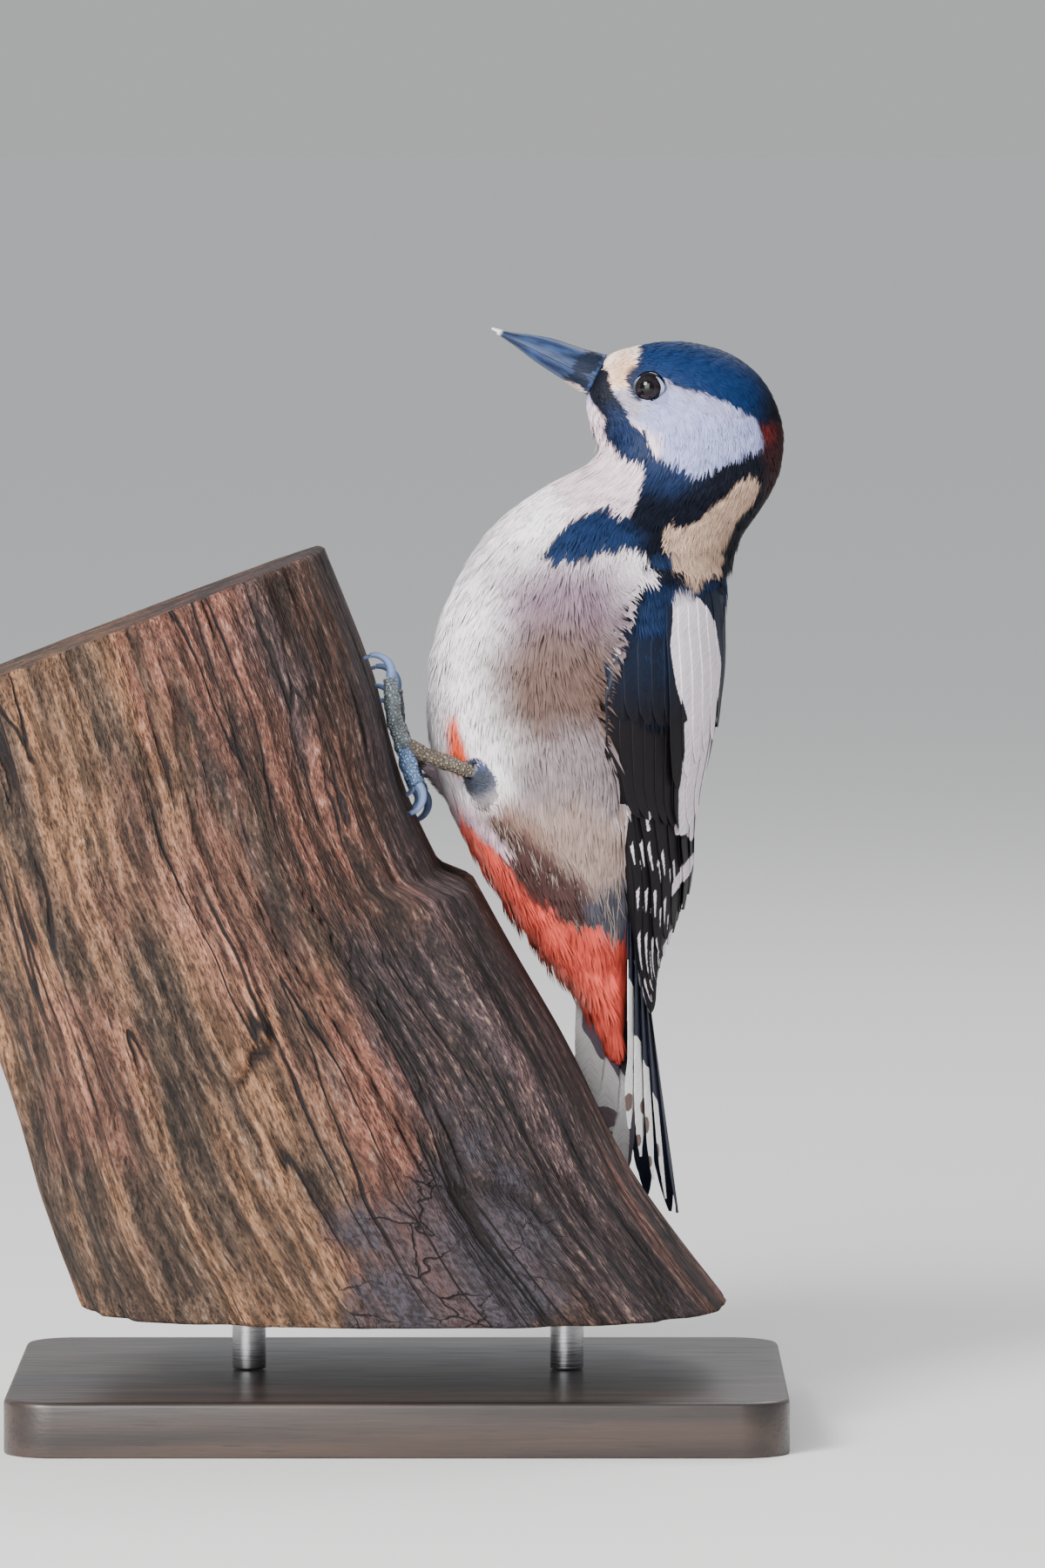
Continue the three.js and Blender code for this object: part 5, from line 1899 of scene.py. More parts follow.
@dataclass(frozen=True)
class HornFinish:
    """Horn: dark, glossy, finely streaked along its length and paler at the tip."""

    name: str
    dark: Triple
    light: Triple
    tip: Triple
    roughness: tuple[float, float] = (0.38, 0.53)
    streaks: Triple = (60.0, 900.0, 900.0)
    relief: float = 0.00008

    def build(self) -> Material:
        """The finish as a material.

        Returns:
            The material.
        """
        made, tree, shader = material(self.name, Specular_IOR_Level=0.4)
        streaks = tree.noise(tree.carried("horn", "Vector"), self.streaks, 4)
        colour = tree.tones(streaks, 0.25, 0.8, self.dark, self.light)
        tree.feed(shader, "Base Color", tree.blend(tree.carried("tip"), colour, self.tip))
        tree.feed(shader, "Roughness", tree.steps(streaks, 0.3, 0.7, self.roughness))
        tree.feed(shader, "Normal", tree.bump(streaks, self.relief))
        return made


@dataclass
class Bill:
    """The two halves of the bill, keeled, drawn out to a chisel tip."""

    finish: Material
    length: float = 27.7
    slope: float = 26.0
    root: tuple[float, float] = (-20.4, 249.0)
    upper: tuple[float, ...] = (6.4, 5.5, 4.9, 4.2, 2.9, 1.5, 0.5)
    lower: tuple[float, ...] = (3.9, 3.3, 2.8, 2.1, 1.1, 0.45)
    half_width: tuple[float, ...] = (4.9, 4.3, 3.6, 2.8, 2.0, 1.3, 0.7)
    section: tuple[tuple[float, float], ...] = ((0, 1), (0.42, 0.86), (0.8, 0.5), (1, 0.0))
    shorter: float = 1.6
    gap: float = 0.03
    rings: int = 90

    def point(self, along: Array, left: Array, over: Array) -> Array:
        """Points along the bill, to its left and over the mouth line.

        Args:
            along: distance from the bill's root.
            left: distance to its left.
            over: distance over the line between its halves.

        Returns:
            Points in the frame.
        """
        angle = math.radians(self.slope)
        back = self.root[0] - along * math.cos(angle) + over * math.sin(angle)
        return bird_point(back, left, self.root[1] + along * math.sin(angle) + over * math.cos(angle), 0)

    def half(self, heights: tuple[float, ...], length: float, sign: int) -> Shape:
        """One half: a keeled section whose height and width are read along the length.

        Args:
            heights: heights of the section from root to tip.
            length: its length.
            sign: 1 for the upper half and -1 for the lower.

        Returns:
            A closed body.
        """
        share = np.linspace(0, 1, self.rings) ** 0.9
        height = spline(np.array(heights)[:, None], share * (len(heights) - 1))
        width = spline(np.array(self.half_width)[:, None], share * length / self.length * 6)
        side = spline(np.array(self.section, float), np.linspace(0, 3, 15))
        floor = np.stack([np.linspace(1, -1, 9)[1:-1], np.full(7, -0.03)], axis=1)
        around = np.concatenate([side, floor, side[:0:-1] * np.array([-1, 1])])
        keel = 1 + 0.05 * np.exp(-((around[:, 0] / 0.12) ** 2))
        over = sign * (self.gap + around[None, :, 1] * keel * height)
        along = (share * length)[:, None] + 0 * over
        left = around[None, :, 0] * width
        ridge = 0.1 * np.exp(-(((np.abs(left) - 0.72 * width) / 0.4) ** 2))
        ridge = ridge * (sign > 0) * (1 - share[:, None])
        points = self.point(along, left * (1 + ridge * 0.1), over + ridge)
        # The bill's near-white tip is partly worn horn and partly painted highlight.
        tip = ramp(along, self.length - 3.0, self.length - 1.8)
        horn = np.stack([along, left, over], axis=-1) * MM
        return tube(points, {"horn": horn, "tip": tip})

    def build(self) -> None:
        """Makes both halves."""
        for name, heights, length, sign in (
            ("bill_upper", self.upper, self.length, 1),
            ("bill_lower", self.lower, self.length - self.shorter, -1),
        ):
            place(f"{name}_horn", self.half(heights, length, sign), self.finish, Slot.BILL, (name,))


class BillFace(Surface):
    """The root of the bill: u is the distance along it and v the angle from its ridge to the left."""

    handed = -1.0
    steps = (0.1, 0.05)

    def __init__(self, bill: Bill) -> None:
        """Takes the bill that it lies on."""
        self.bill = bill

    def point(self, u: Array, v: Array, out: Array = 0.0) -> Array:
        """Points at distance u and angle v, moved outwards.

        Args:
            u: distances along the bill.
            v: angles in radians from its ridge.
            out: distance outwards.

        Returns:
            Points in the frame.
        """
        u, v, out = np.broadcast_arrays(u, v, out)
        share = np.clip(u / self.bill.length, 0, 1) * 6
        wide = spline(np.array(self.bill.half_width)[:, None], share)[..., 0]
        above = spline(np.array(self.bill.upper)[:, None], share)[..., 0]
        below = spline(np.array(self.bill.lower)[:, None], np.minimum(share, 5))[..., 0]
        high = np.where(np.cos(v) > 0, above, below) + out
        return self.bill.point(u, (wide + out) * np.sin(v), high * np.cos(v))


@dataclass
class Bristles:
    """Fine dark bristles lying forwards over the bill's base, and pale fluff under its root."""

    bill: Bill
    finish: Material
    number: int = 420
    lengths: tuple[float, float] = (4.2, 6.4)

    def build(self) -> None:
        """Makes the bristles."""
        rng = np.random.default_rng(SEED + 80)
        v = rng.uniform(-np.pi, np.pi, self.number)
        under = ramp(np.abs(v), math.radians(138), math.radians(152))
        u = rng.uniform(-1.2, 1.6, self.number) - 0.4 * np.cos(v)
        length = rng.uniform(*self.lengths, self.number) * mix(1.0, 0.8, under)
        length = length * mix(0.7, 1, ramp(np.abs(v), 0.2, 0.7))
        ones = np.ones(self.number)
        fans = Fans(BillFace(self.bill), u, v, length, 0.25 * np.sin(v) * (1 - under), 5, 3,
                    0.7 * ones, 0.15 + 0.5 * under, rng, 0.32)
        path, out, where = fans.paths()
        dark, pale = rgb(0x1A2233), rgb(0xD8C4C0)
        colour = mix(dark, pale, np.broadcast_to(under[:, None, None], (*path.shape[:2], 1)))
        home = np.stack([where[:, :, 0, 1] / (2 * np.pi) + 0.5, where[:, :, 0, 0] * 0.01 + 0.05], axis=-1)
        shape = fans.shape(path, out, colour, home.reshape(-1, 2), 0.7)
        place("bill_bristles", shape, self.finish, Slot.HEAD)


@dataclass(frozen=True)
class EyeFinish:
    """A wet eye: black pupil, almost black brown iris with fine paler spokes, black rim."""

    name: str = "eye"
    pupil: Triple = linear(0x050405)
    iris: Triple = linear(0x120C12)
    spoke: Triple = linear(0x231A20)
    spokes: Triple = (2600.0, 2600.0, 2600.0)
    # Degrees from the middle of the pupil, and how far each edge is blurred.
    pupil_degrees: float = 26.0
    pupil_blur: float = 2.0
    iris_degrees: float = 47.0
    rim: float = 9.0

    def build(self) -> Material:
        """The finish as a material.

        Returns:
            The material.
        """
        made, tree, shader = material(self.name, Roughness=0.05, IOR=1.36)
        angle = tree.carried("gaze")
        iris = tree.tones(tree.noise(tree.place(), self.spokes), 0.4, 0.65, self.iris, self.spoke)
        iris = tree.tones(angle, self.iris_degrees - self.rim, self.iris_degrees, iris, self.pupil)
        low, high = self.pupil_degrees - self.pupil_blur, self.pupil_degrees + self.pupil_blur
        tree.feed(shader, "Base Color", tree.tones(angle, low, high, self.pupil, iris))
        return made


@dataclass(frozen=True)
class SkinFinish:
    """Bare skin: small raised scales, their creases darkened as painted shade and their tops lightened as
    painted light, over a pigment of its own.
    """

    name: str
    scales: float
    relief: float
    # How dark the painted shade in the creases is, as a share.
    crease: float = 0.55
    roughness: float = 0.5
    blotches: Triple = (900.0, 900.0, 900.0)

    def build(self) -> Material:
        """The finish as a material.

        Returns:
            The material.
        """
        wet = {"Coat_Weight": 0.12, "Coat_Roughness": 0.4}
        made, tree, shader = material(self.name, Roughness=self.roughness, **wet)
        cells = tree.use(CELLS, tree.place(), (self.scales,) * 3)
        # Painted shade in the creases between the scales and painted light on their raised middles,
        # following the bump.
        tint = tree.steps(cells, 0.0, 0.3, (self.crease, 1.12))
        blotch = tree.steps(tree.noise(tree.place(), self.blotches), 0.3, 0.7, (0.8, 1.2))
        shade = tree.maths("MULTIPLY", tint, blotch)
        tree.feed(shader, "Base Color", tree.tinted(tree.carried("pigment", "Color"), shade))
        tree.feed(shader, "Normal", tree.bump(tree.steps(cells, 0.0, 0.35), self.relief))
        return made


@dataclass
class Eye:
    """One eyeball and the bare lids round it."""

    name: str
    side: int
    glass: Material
    skin: Material
    centre: tuple[float, float] = (-7.2, 247.4)
    out: float = 8.6
    radius: float = 4.0
    lid_radii: tuple[float, float] = (3.1, 2.45)
    lid_thickness: float = 0.78
    lid_out: float = 2.1
    turn: float = 12.0
    ball_grid: tuple[int, int] = (60, 64)
    lid_grid: tuple[int, int] = (120, 20)

    def axes(self) -> tuple[Array, Array, Array, Array]:
        """The ball's centre and the ways out, forwards and up of its lids.

        Returns:
            One point and three directions.
        """
        centre = bird_point(self.centre[0], self.side * self.out, self.centre[1], 0)
        angle = math.radians(self.turn)
        out = np.array([-math.sin(angle), -self.side * math.cos(angle), 0])
        ahead = np.array([-math.cos(angle), self.side * math.sin(angle), 0])
        return centre, out, ahead, np.array([0, 0, 1.0])

    def ball(self) -> Shape:
        """A sphere from rings round the way it looks, so that its pole is the middle of the pupil.

        Returns:
            A closed ball that carries its angle from the pupil's middle.
        """
        centre, out, ahead, up = self.axes()
        polar = np.radians(np.linspace(1, 179, self.ball_grid[0]))[:, None]
        angle = circle(self.ball_grid[1])[None, :]
        ring = np.cos(angle)[..., None] * ahead + np.sin(angle)[..., None] * up
        points = centre + self.radius * (np.cos(polar)[..., None] * out + np.sin(polar)[..., None] * ring)
        return tube(points, {"gaze": np.degrees(polar) + 0 * angle})

    def lids(self) -> Shape:
        """An oval ring of skin: a tube closed on itself, creased across, drawn to a corner fore and aft.

        Returns:
            A closed ring with its pigment.
        """
        centre, out, ahead, up = self.axes()
        angle = circle(self.lid_grid[0])[:, None]
        round_tube = circle(self.lid_grid[1])[None, :]
        corner = 1 + 0.07 * np.cos(angle) ** 8
        wide, high = self.lid_radii
        crease = 1 + 0.06 * np.cos(44 * angle) + 0.08 * np.cos(4 * round_tube)
        size = self.lid_thickness * crease * (0.85 + 0.25 * np.sin(angle) ** 2)
        reach = 1 + size * np.cos(round_tube) / 3.3
        flat = (wide * corner * np.cos(angle) * reach, high * np.sin(angle) * reach)
        lift = self.lid_out + 0.55 * size * np.sin(round_tube) + 0.12 * np.sin(angle)
        points = centre + flat[0][..., None] * ahead + flat[1][..., None] * up + lift[..., None] * out
        count, sides = self.lid_grid
        quads = grid_quads(count + 1, sides, True) % (count * sides)
        inner = ramp(np.cos(round_tube + 0 * angle), -0.1, -0.75)
        under = ramp(np.sin(angle) - 0.8 * np.cos(angle) + 0 * round_tube, -0.7, 0.8)
        outer = mix(rgb(0x1C2130), rgb(0x93A0BE), under[..., None])
        colour = mix(outer, rgb(0x15161C), inner[..., None])
        return Shape(points.reshape(-1, 3), quads, values={"pigment": colour.reshape(-1, 3)}).facing_out()

    def build(self) -> None:
        """Makes the ball and the lids."""
        place(f"eyeball_{self.name}", self.ball(), self.glass, Slot.EYE, (f"eye_{self.name}",))
        place(f"eyelids_{self.name}", self.lids(), self.skin, Slot.HEAD)


# ---- Trunk -----------------------------------------------------------------------------------------


PERCH_RINGS = np.array([
    # Right edge (x, z), left edge (x, z) and half depth, 30 mm apart up the right edge.
    [78.0, 30, -74.6, 30, 64],
    [54.6, 60, -84.0, 56, 62],
    [36.6, 90, -92.0, 84, 60],
    [17.5, 120, -99.5, 110, 57],
    [2.2, 150, -106.0, 133, 54],
    [-6.4, 180, -112.0, 153, 52],
    [-18.0, 210, -117.5, 172, 50],
])
RING_RISE = 30
FACE_STEPS = 40
# Long hollows: how many go round, how deep for the trunk's size, their twist and where they start.
FLUTES = ((5, 0.016, 0.5, 0.8), (9, 0.012, -0.7, 2.1), (14, 0.007, 1.1, 0.3), (24, 0.011, 1.6, 1.0))
# The ledge under the feet: its height, the ring numbers of its step and the degrees of its ends.
LEDGE = 5.9
LEDGE_TOP = (3.48, 3.3)
LEDGE_WIDTH = (38, 62)


def perch_point(station: Array, degrees: Array, grow: Array = 0.0) -> Array:
    """The trunk's surface: a rounded square section with long hollows and the ledge under the feet.

    Args:
        station: ring number up the trunk.
        degrees: angle from the side the bird is on.
        grow: growth outwards.

    Returns:
        Points in the frame.
    """
    station, degrees, grow = np.broadcast_arrays(station, degrees, grow)
    right_x, right_z, left_x, left_z, depth = np.moveaxis(spline(PERCH_RINGS, station), -1, 0)
    angle = np.radians(degrees)
    turn = np.abs((degrees + 180) % 360 - 180)
    ragged = 0.05 * noise(np.stack([degrees / 4.5, 0 * angle, 0 * angle], axis=-1), 5)
    ledge = ramp(station + ragged, LEDGE_TOP[0], LEDGE_TOP[1]) * ramp(turn, LEDGE_WIDTH[1], LEDGE_WIDTH[0])
    flute = sum(
        size * np.cos(waves * angle + twist * station + phase) for waves, size, twist, phase in FLUTES
    )
    quiet = mix(0.25, 1, ramp(turn, 20, 60))
    half = ((right_x - left_x) / 2, (right_z - left_z) / 2)
    out = grow + LEDGE * ledge * ramp(station, 0, LEDGE_TOP[1])
    k = 1 + flute * quiet + out / np.hypot(*half)
    x, y = squared(angle)
    x = x * k
    y = y * (depth * (1 + flute * quiet) + out)
    middle = ((right_x + left_x) / 2, (right_z + left_z) / 2)
    return np.stack([middle[0] + half[0] * x, y, middle[1] + half[1] * x], axis=-1)


def perch_face(height: Array, y: Array) -> Array:
    """Points of the trunk's bird side at heights and Ys, found by stepping ring number and angle.

    Args:
        height: heights over the floor.
        y: Y for each of them.

    Returns:
        Points in the frame.
    """
    station, degrees = (height - PERCH_RINGS[0, 1]) / RING_RISE, 0.0 * y
    for _ in range(FACE_STEPS):
        at = perch_point(station, degrees)
        station = station + (height - at[..., 2]) / 40
        degrees = degrees + (y - at[..., 1]) * 0.4
    return perch_point(station, degrees)


@dataclass(frozen=True)
class WoodFinish:
    """Weathered bare wood: long fibres in browns, tans and greys, its raised fibres paler, partly as
    painted highlight, with painted shade between them and in its furrows and cracks.
    """

    name: str = "weathered_wood"
    # deep is the colour of the painted shade in the furrows, cracks, gaps and between the fibres, and of
    # the crust's grit.
    deep: Triple = linear(0x150D0D)
    brown: Triple = linear(0x54392F)
    mauve: Triple = linear(0x46393C)
    rust: Triple = linear(0x73483A)
    tan: Triple = linear(0x886244)
    olive: Triple = linear(0x665040)
    pink: Triple = linear(0x845A48)
    pale: Triple = linear(0xB49482)
    slate: Triple = linear(0x3D3A42)
    # Waves to a metre of each noise: twice across the trunk, and along its grain.
    fine: Triple = (2500.0, 2500.0, 560.0)
    fibre: Triple = (1350.0, 1350.0, 230.0)
    strand: Triple = (500.0, 500.0, 42.0)
    band: Triple = (90.0, 90.0, 9.0)
    patch: Triple = (30.0, 30.0, 13.0)
    crack: Triple = (110.0, 110.0, 5.0)
    opening: Triple = (45.0, 45.0, 12.0)
    plates: Triple = (130.0, 130.0, 95.0)
    grit: Triple = (1100.0, 1100.0, 700.0)
    # Metres that the grain wanders and that the plates are bent by, and the height of the relief.
    wander: Triple = (0.004, 0.004, 0.0)
    bend: Triple = (0.0055, 0.0055, 0.0055)
    relief: float = 0.0013

    def build(self) -> Material:
        """The finish as a material.

        Returns:
            The material.
        """
        made, tree, shader = material(self.name, Roughness=0.82, Specular_IOR_Level=0.35)
        grain = tree.warped(tree.carried("grain", "Vector"), 26.0, 3.0, self.wander)
        fibre, strand, band = (tree.noise(grain, waves) for waves in (self.fibre, self.strand, self.band))
        fine = tree.noise(grain, self.fine, 2)
        fray = tree.maths("MULTIPLY_ADD", fine, 0.55, tree.maths("MULTIPLY", fibre, 0.6))
        base = self.ground(tree, grain, strand, band)
        # Pale on the raised fibres, partly the wood's own pale fibres and partly painted highlight, and
        # dark between them as painted shade.
        base = tree.blend(tree.maths("MULTIPLY", tree.steps(fray, 0.61, 0.74), 0.45), base, self.pale)
        base = tree.blend(tree.maths("MULTIPLY", tree.steps(fray, 0.58, 0.47), 0.68), base, self.deep)
        # Painted shade: darker on the low strands that the bump sinks, lighter on the high ones.
        groove_shade = tree.steps(strand, 0.36, 0.62, (0.3, 1.14))
        broad = tree.maths("MULTIPLY", groove_shade, tree.steps(band, 0.32, 0.66, (0.42, 1.16)))
        base = tree.tinted(base, broad)
        line = tree.maths("ABSOLUTE", tree.maths("SUBTRACT", tree.noise(grain, self.crack, 2), 0.5))
        opened = tree.steps(tree.noise(grain, self.opening, 2), 0.46, 0.58)
        crack = tree.maths("MULTIPLY", tree.steps(line, 0.017, 0.004), opened)
        gap, base = self.crust(tree, grain, band, base)
        # Painted shade in the cracks, in the gaps between the plates and in the carved furrows.
        dark = tree.maths("MAXIMUM", tree.maths("MAXIMUM", gap, crack), tree.carried("furrow"))
        tree.feed(shader, "Base Color", tree.blend(dark, base, self.deep))
        height = tree.maths("MULTIPLY_ADD", fray, 1.1, tree.maths("MULTIPLY", strand, 1.3))
        height = tree.maths("SUBTRACT", height, tree.maths("ADD", gap, crack))
        tree.feed(shader, "Normal", tree.bump(height, self.relief))
        return made

    def ground(self, tree: Tree, grain: Socket, strand: Socket, band: Socket) -> Socket:
        """The wood's own colour: olive, tan and pink on its pale side, brown, mauve and rust on its dark.

        Args:
            tree: the material's tree.
            grain: coordinates along the grain.
            strand: the noise of the strands.
            band: the noise of the broad bands.

        Returns:
            A colour.
        """
        patch = tree.noise(grain, self.patch, 4)
        ragged = tree.maths("MULTIPLY_ADD", tree.maths("SUBTRACT", strand, 0.5), 1.2, tree.carried("zone"))
        dark_side = tree.tones(patch, 0.42, 0.58, self.brown, self.mauve)
        pale_side = tree.tones(band, 0.4, 0.6, self.olive, self.tan)
        pale_side = tree.tones(patch, 0.5, 0.62, pale_side, self.pink)
        rusty = tree.maths("MULTIPLY", tree.steps(band, 0.42, 0.6), tree.carried("rust"))
        return tree.blend(rusty, tree.tones(ragged, 0.25, 0.75, pale_side, dark_side), self.rust)

    def crust(self, tree: Tree, grain: Socket, band: Socket, base: Socket) -> tuple[Socket, Socket]:
        """The crazed plates over the wood.

        Args:
            tree: the material's tree.
            grain: coordinates along the grain.
            band: the noise of the broad bands.
            base: the colour of the wood under them.

        Returns:
            How much painted shade darkens the gaps between two plates, and the colour of wood and plates.
        """
        crust = tree.carried("crust")
        split = tree.use(CELLS, tree.warped(grain, 160.0, 4.0, self.bend), self.plates)
        width = tree.steps(band, 0.4, 0.6, (0.004, 0.04))
        gap = tree.maths("MULTIPLY", tree.maths("SUBTRACT", 1.0, tree.steps(split, 0.0, width)), crust)
        grit = tree.maths("MULTIPLY", tree.steps(tree.noise(grain, self.grit, 5), 0.56, 0.4), 0.7)
        plate = tree.blend(grit, tree.tones(band, 0.38, 0.6, self.slate, self.mauve), self.deep)
        return gap, tree.blend(tree.maths("MULTIPLY", crust, 0.85), base, plate)


@dataclass
class Perch:
    """The cut length of trunk: a fine grid over its surface, carved inwards along the grain."""

    finish: Material
    rows: int = 132
    columns: int = 600
    cap_rings: int = 9
    radius: float = 56
    rise: float = 33

    def even_degrees(self) -> Array:
        """Angles whose points lie equally far apart round the middle of the trunk.

        Returns:
            Degrees, one for each column.
        """
        fine = np.linspace(0, 360, 3601)
        run = run_along(perch_point(3.0, fine))
        return np.interp(np.arange(self.columns) / self.columns * run[-1], run, fine)

    def grain(self, station: Array, degrees: Array, share: Array = 1.0) -> Array:
        """The place in the straightened trunk: two numbers in the cross-section and one along it."""
        x, y = (self.radius * part * share for part in squared(np.radians(degrees)))
        return np.stack(np.broadcast_arrays(x, y, station * self.rise), axis=-1)

    def fibres(self, grain: Array, across: float, along: float, seed: int) -> Array:
        """Noise of so many millimetres across the grain and along it."""
        return noise(grain / np.array([across, across, along]), seed)

    def carving(self, station: Array, degrees: Array) -> tuple[Array, Array]:
        """How deep the weather has cut, and how much painted shade darkens its furrows and cracks.

        Three widths of noise drawn out along the grain give the fibres. A crack is where a wider noise,
        drawn out further, crosses nought.

        Args:
            station: ring numbers.
            degrees: angles.

        Returns:
            Depths in millimetres and shares from 0 to 1.
        """
        g = self.grain(station, degrees)
        bend = 4 * self.fibres(g, 28, 70, 1)
        g = g + np.stack([bend, 4 * self.fibres(g, 30, 80, 2), 0 * bend], axis=-1)
        ridge = 1 - np.abs(self.fibres(g, 13, 150, 3))
        middle = self.fibres(g, 4.4, 60, 4)
        fine = self.fibres(g, 1.9, 26, 6)
        line = np.abs(self.fibres(g, 11, 130, 7))
        crack = ramp(line, 0.05, 0.0) * ramp(self.fibres(g, 18, 75, 8), -0.05, 0.35)
        short = ramp(self.fibres(g, 2.6, 16, 12), 0.35, 0.6)
        depth = 1.3 * (1 - ridge) + 0.7 * middle + 0.4 * fine + 2.2 * crack + 0.7 * short
        hold = ramp(np.abs((degrees + 180) % 360 - 180), 16, 40)
        # Painted shade: darkest in the cracks, the short pits and the deeper carving.
        dark = np.clip(0.8 * crack + 0.25 * short + ramp(middle + fine, 0.4, 1.1) * 0.3, 0, 1)
        return np.maximum(depth, -0.3) * mix(0.35, 1.0, hold), dark

    def build(self) -> None:
        """Makes the trunk and its two cut ends."""
        last = len(PERCH_RINGS) - 1
        station = np.linspace(0, last, self.rows)[:, None]
        degrees = self.even_degrees()[None, :]
        depth, furrow = self.carving(station, degrees)
        rim = ramp(station, 0, 0.05) * ramp(station, last, last - 0.05)
        sides = perch_point(station, degrees, -depth * mix(0.4, 1, rim) - 0.8 * (1 - rim))
        shares = np.sqrt(np.linspace(1, 0.0, self.cap_rings + 1)[1:-1])[:, None]
        middles = (sides[row].mean(axis=0) for row in (0, -1))
        low, high = (
            middle + (sides[row] - middle) * shares[..., None] for row, middle in zip((0, -1), middles)
        )
        points = np.concatenate([low[::-1], sides, high])
        low, high = (self.grain(at, degrees, shares) for at in (0, last))
        grain = np.concatenate([low[::-1], self.grain(station, degrees), high]) * MM
        caps = np.zeros((len(shares), self.columns))
        values = {
            "grain": grain,
            "furrow": np.concatenate([caps + 0.1, furrow, caps + 0.1]),
            "zone": self.zone(points),
            "rust": self.rust(points),
            "crust": self.crust(points),
        }
        place("trunk", tube(points, values), self.finish, Slot.BARK, ("perch",))

    def line(self, points: Array) -> Array:
        """Place across the trunk as seen from the bird's left: X carried along the trunk's lean."""
        wander = self.fibres(points, 14, 60, 11) + 0.5 * self.fibres(points, 5, 30, 12)
        return points[..., 0] + (points[..., 2] - 100) * 0.45 + 9 * wander

    def zone(self, points: Array) -> Array:
        """0 in the pale tan wood of the side away from the bird and 1 in the dark wood."""
        return ramp(self.line(points), -34, 4)

    def rust(self, points: Array) -> Array:
        """How much the rusty streaks show: most in the middle and along the edge under the tail.

        Args:
            points: places in the frame.

        Returns:
            Shares from 0 to 1.
        """
        line = self.line(points)
        middle = ramp(np.abs(line + 10), 26, 6)
        edge = ramp(line, 24, 36) * ramp(points[..., 2], 112, 80)
        return np.clip(middle + 0.5 * edge + 0.12, 0, 1)

    def crust(self, points: Array) -> Array:
        """Where the wood is crazed into small plates, low on the side that the bird's left faces.

        Args:
            points: places in the frame.

        Returns:
            Shares from 0 to 1.
        """
        away = np.hypot((points[..., 0] - 12) / 26, (points[..., 2] - 38) / 34)
        away = away + 0.3 * noise(points / 9, 13)
        return ramp(away, 1.1, 0.7) * ramp(points[..., 1], -10, -30)


# ---- Legs and feet ---------------------------------------------------------------------------------


class ThighFace(Surface):
    """A tapered limb: u runs from 0 in the belly to 4 at the heel, and v round it from its upper side."""

    steps = (0.05, 0.05)

    def __init__(self, leg: "Leg") -> None:
        """Lays the limb from inside the belly to a little past the heel, along the shank.

        Args:
            leg: the leg it belongs to.
        """
        heel = bird_point(leg.heel[0], leg.side * leg.leg_side, leg.heel[1])
        inner = leg.side * (leg.leg_side - leg.thigh_inwards)
        self.top = bird_point(leg.thigh_top[0], inner, leg.thigh_top[1])
        self.heel = heel - leg.ankle * unit(heel - leg.joint)
        self.radii = np.array([*leg.thigh_radii, 1.9])[:, None]
        self.way = unit(self.heel - self.top)
        self.upper = unit(np.array([0, 0, 1.0]) - self.way[2] * self.way)
        self.side = np.cross(self.way, self.upper)

    def point(self, u: Array, v: Array, out: Array = 0.0) -> Array:
        """Points at u and angle v, moved outwards.

        Args:
            u: places along the limb.
            v: angles in radians from its upper side.
            out: distance outwards.

        Returns:
            Points in the frame.
        """
        u, v, out = np.broadcast_arrays(u, v, out)
        reach = spline(self.radii, u)[..., 0] + out
        ring = np.cos(v)[..., None] * self.upper + np.sin(v)[..., None] * self.side
        return self.top + (u / 4)[..., None] * (self.heel - self.top) + reach[..., None] * ring


@dataclass(frozen=True)
class Toe:
    """A toe: steps up the trunk, out to the side and off the bark, radii from its root on, and its claw."""

    name: str
    path: tuple[Triple, ...]
    radii: tuple[float, ...]
    claw_radius: float
    colour: int = 0x8C979C


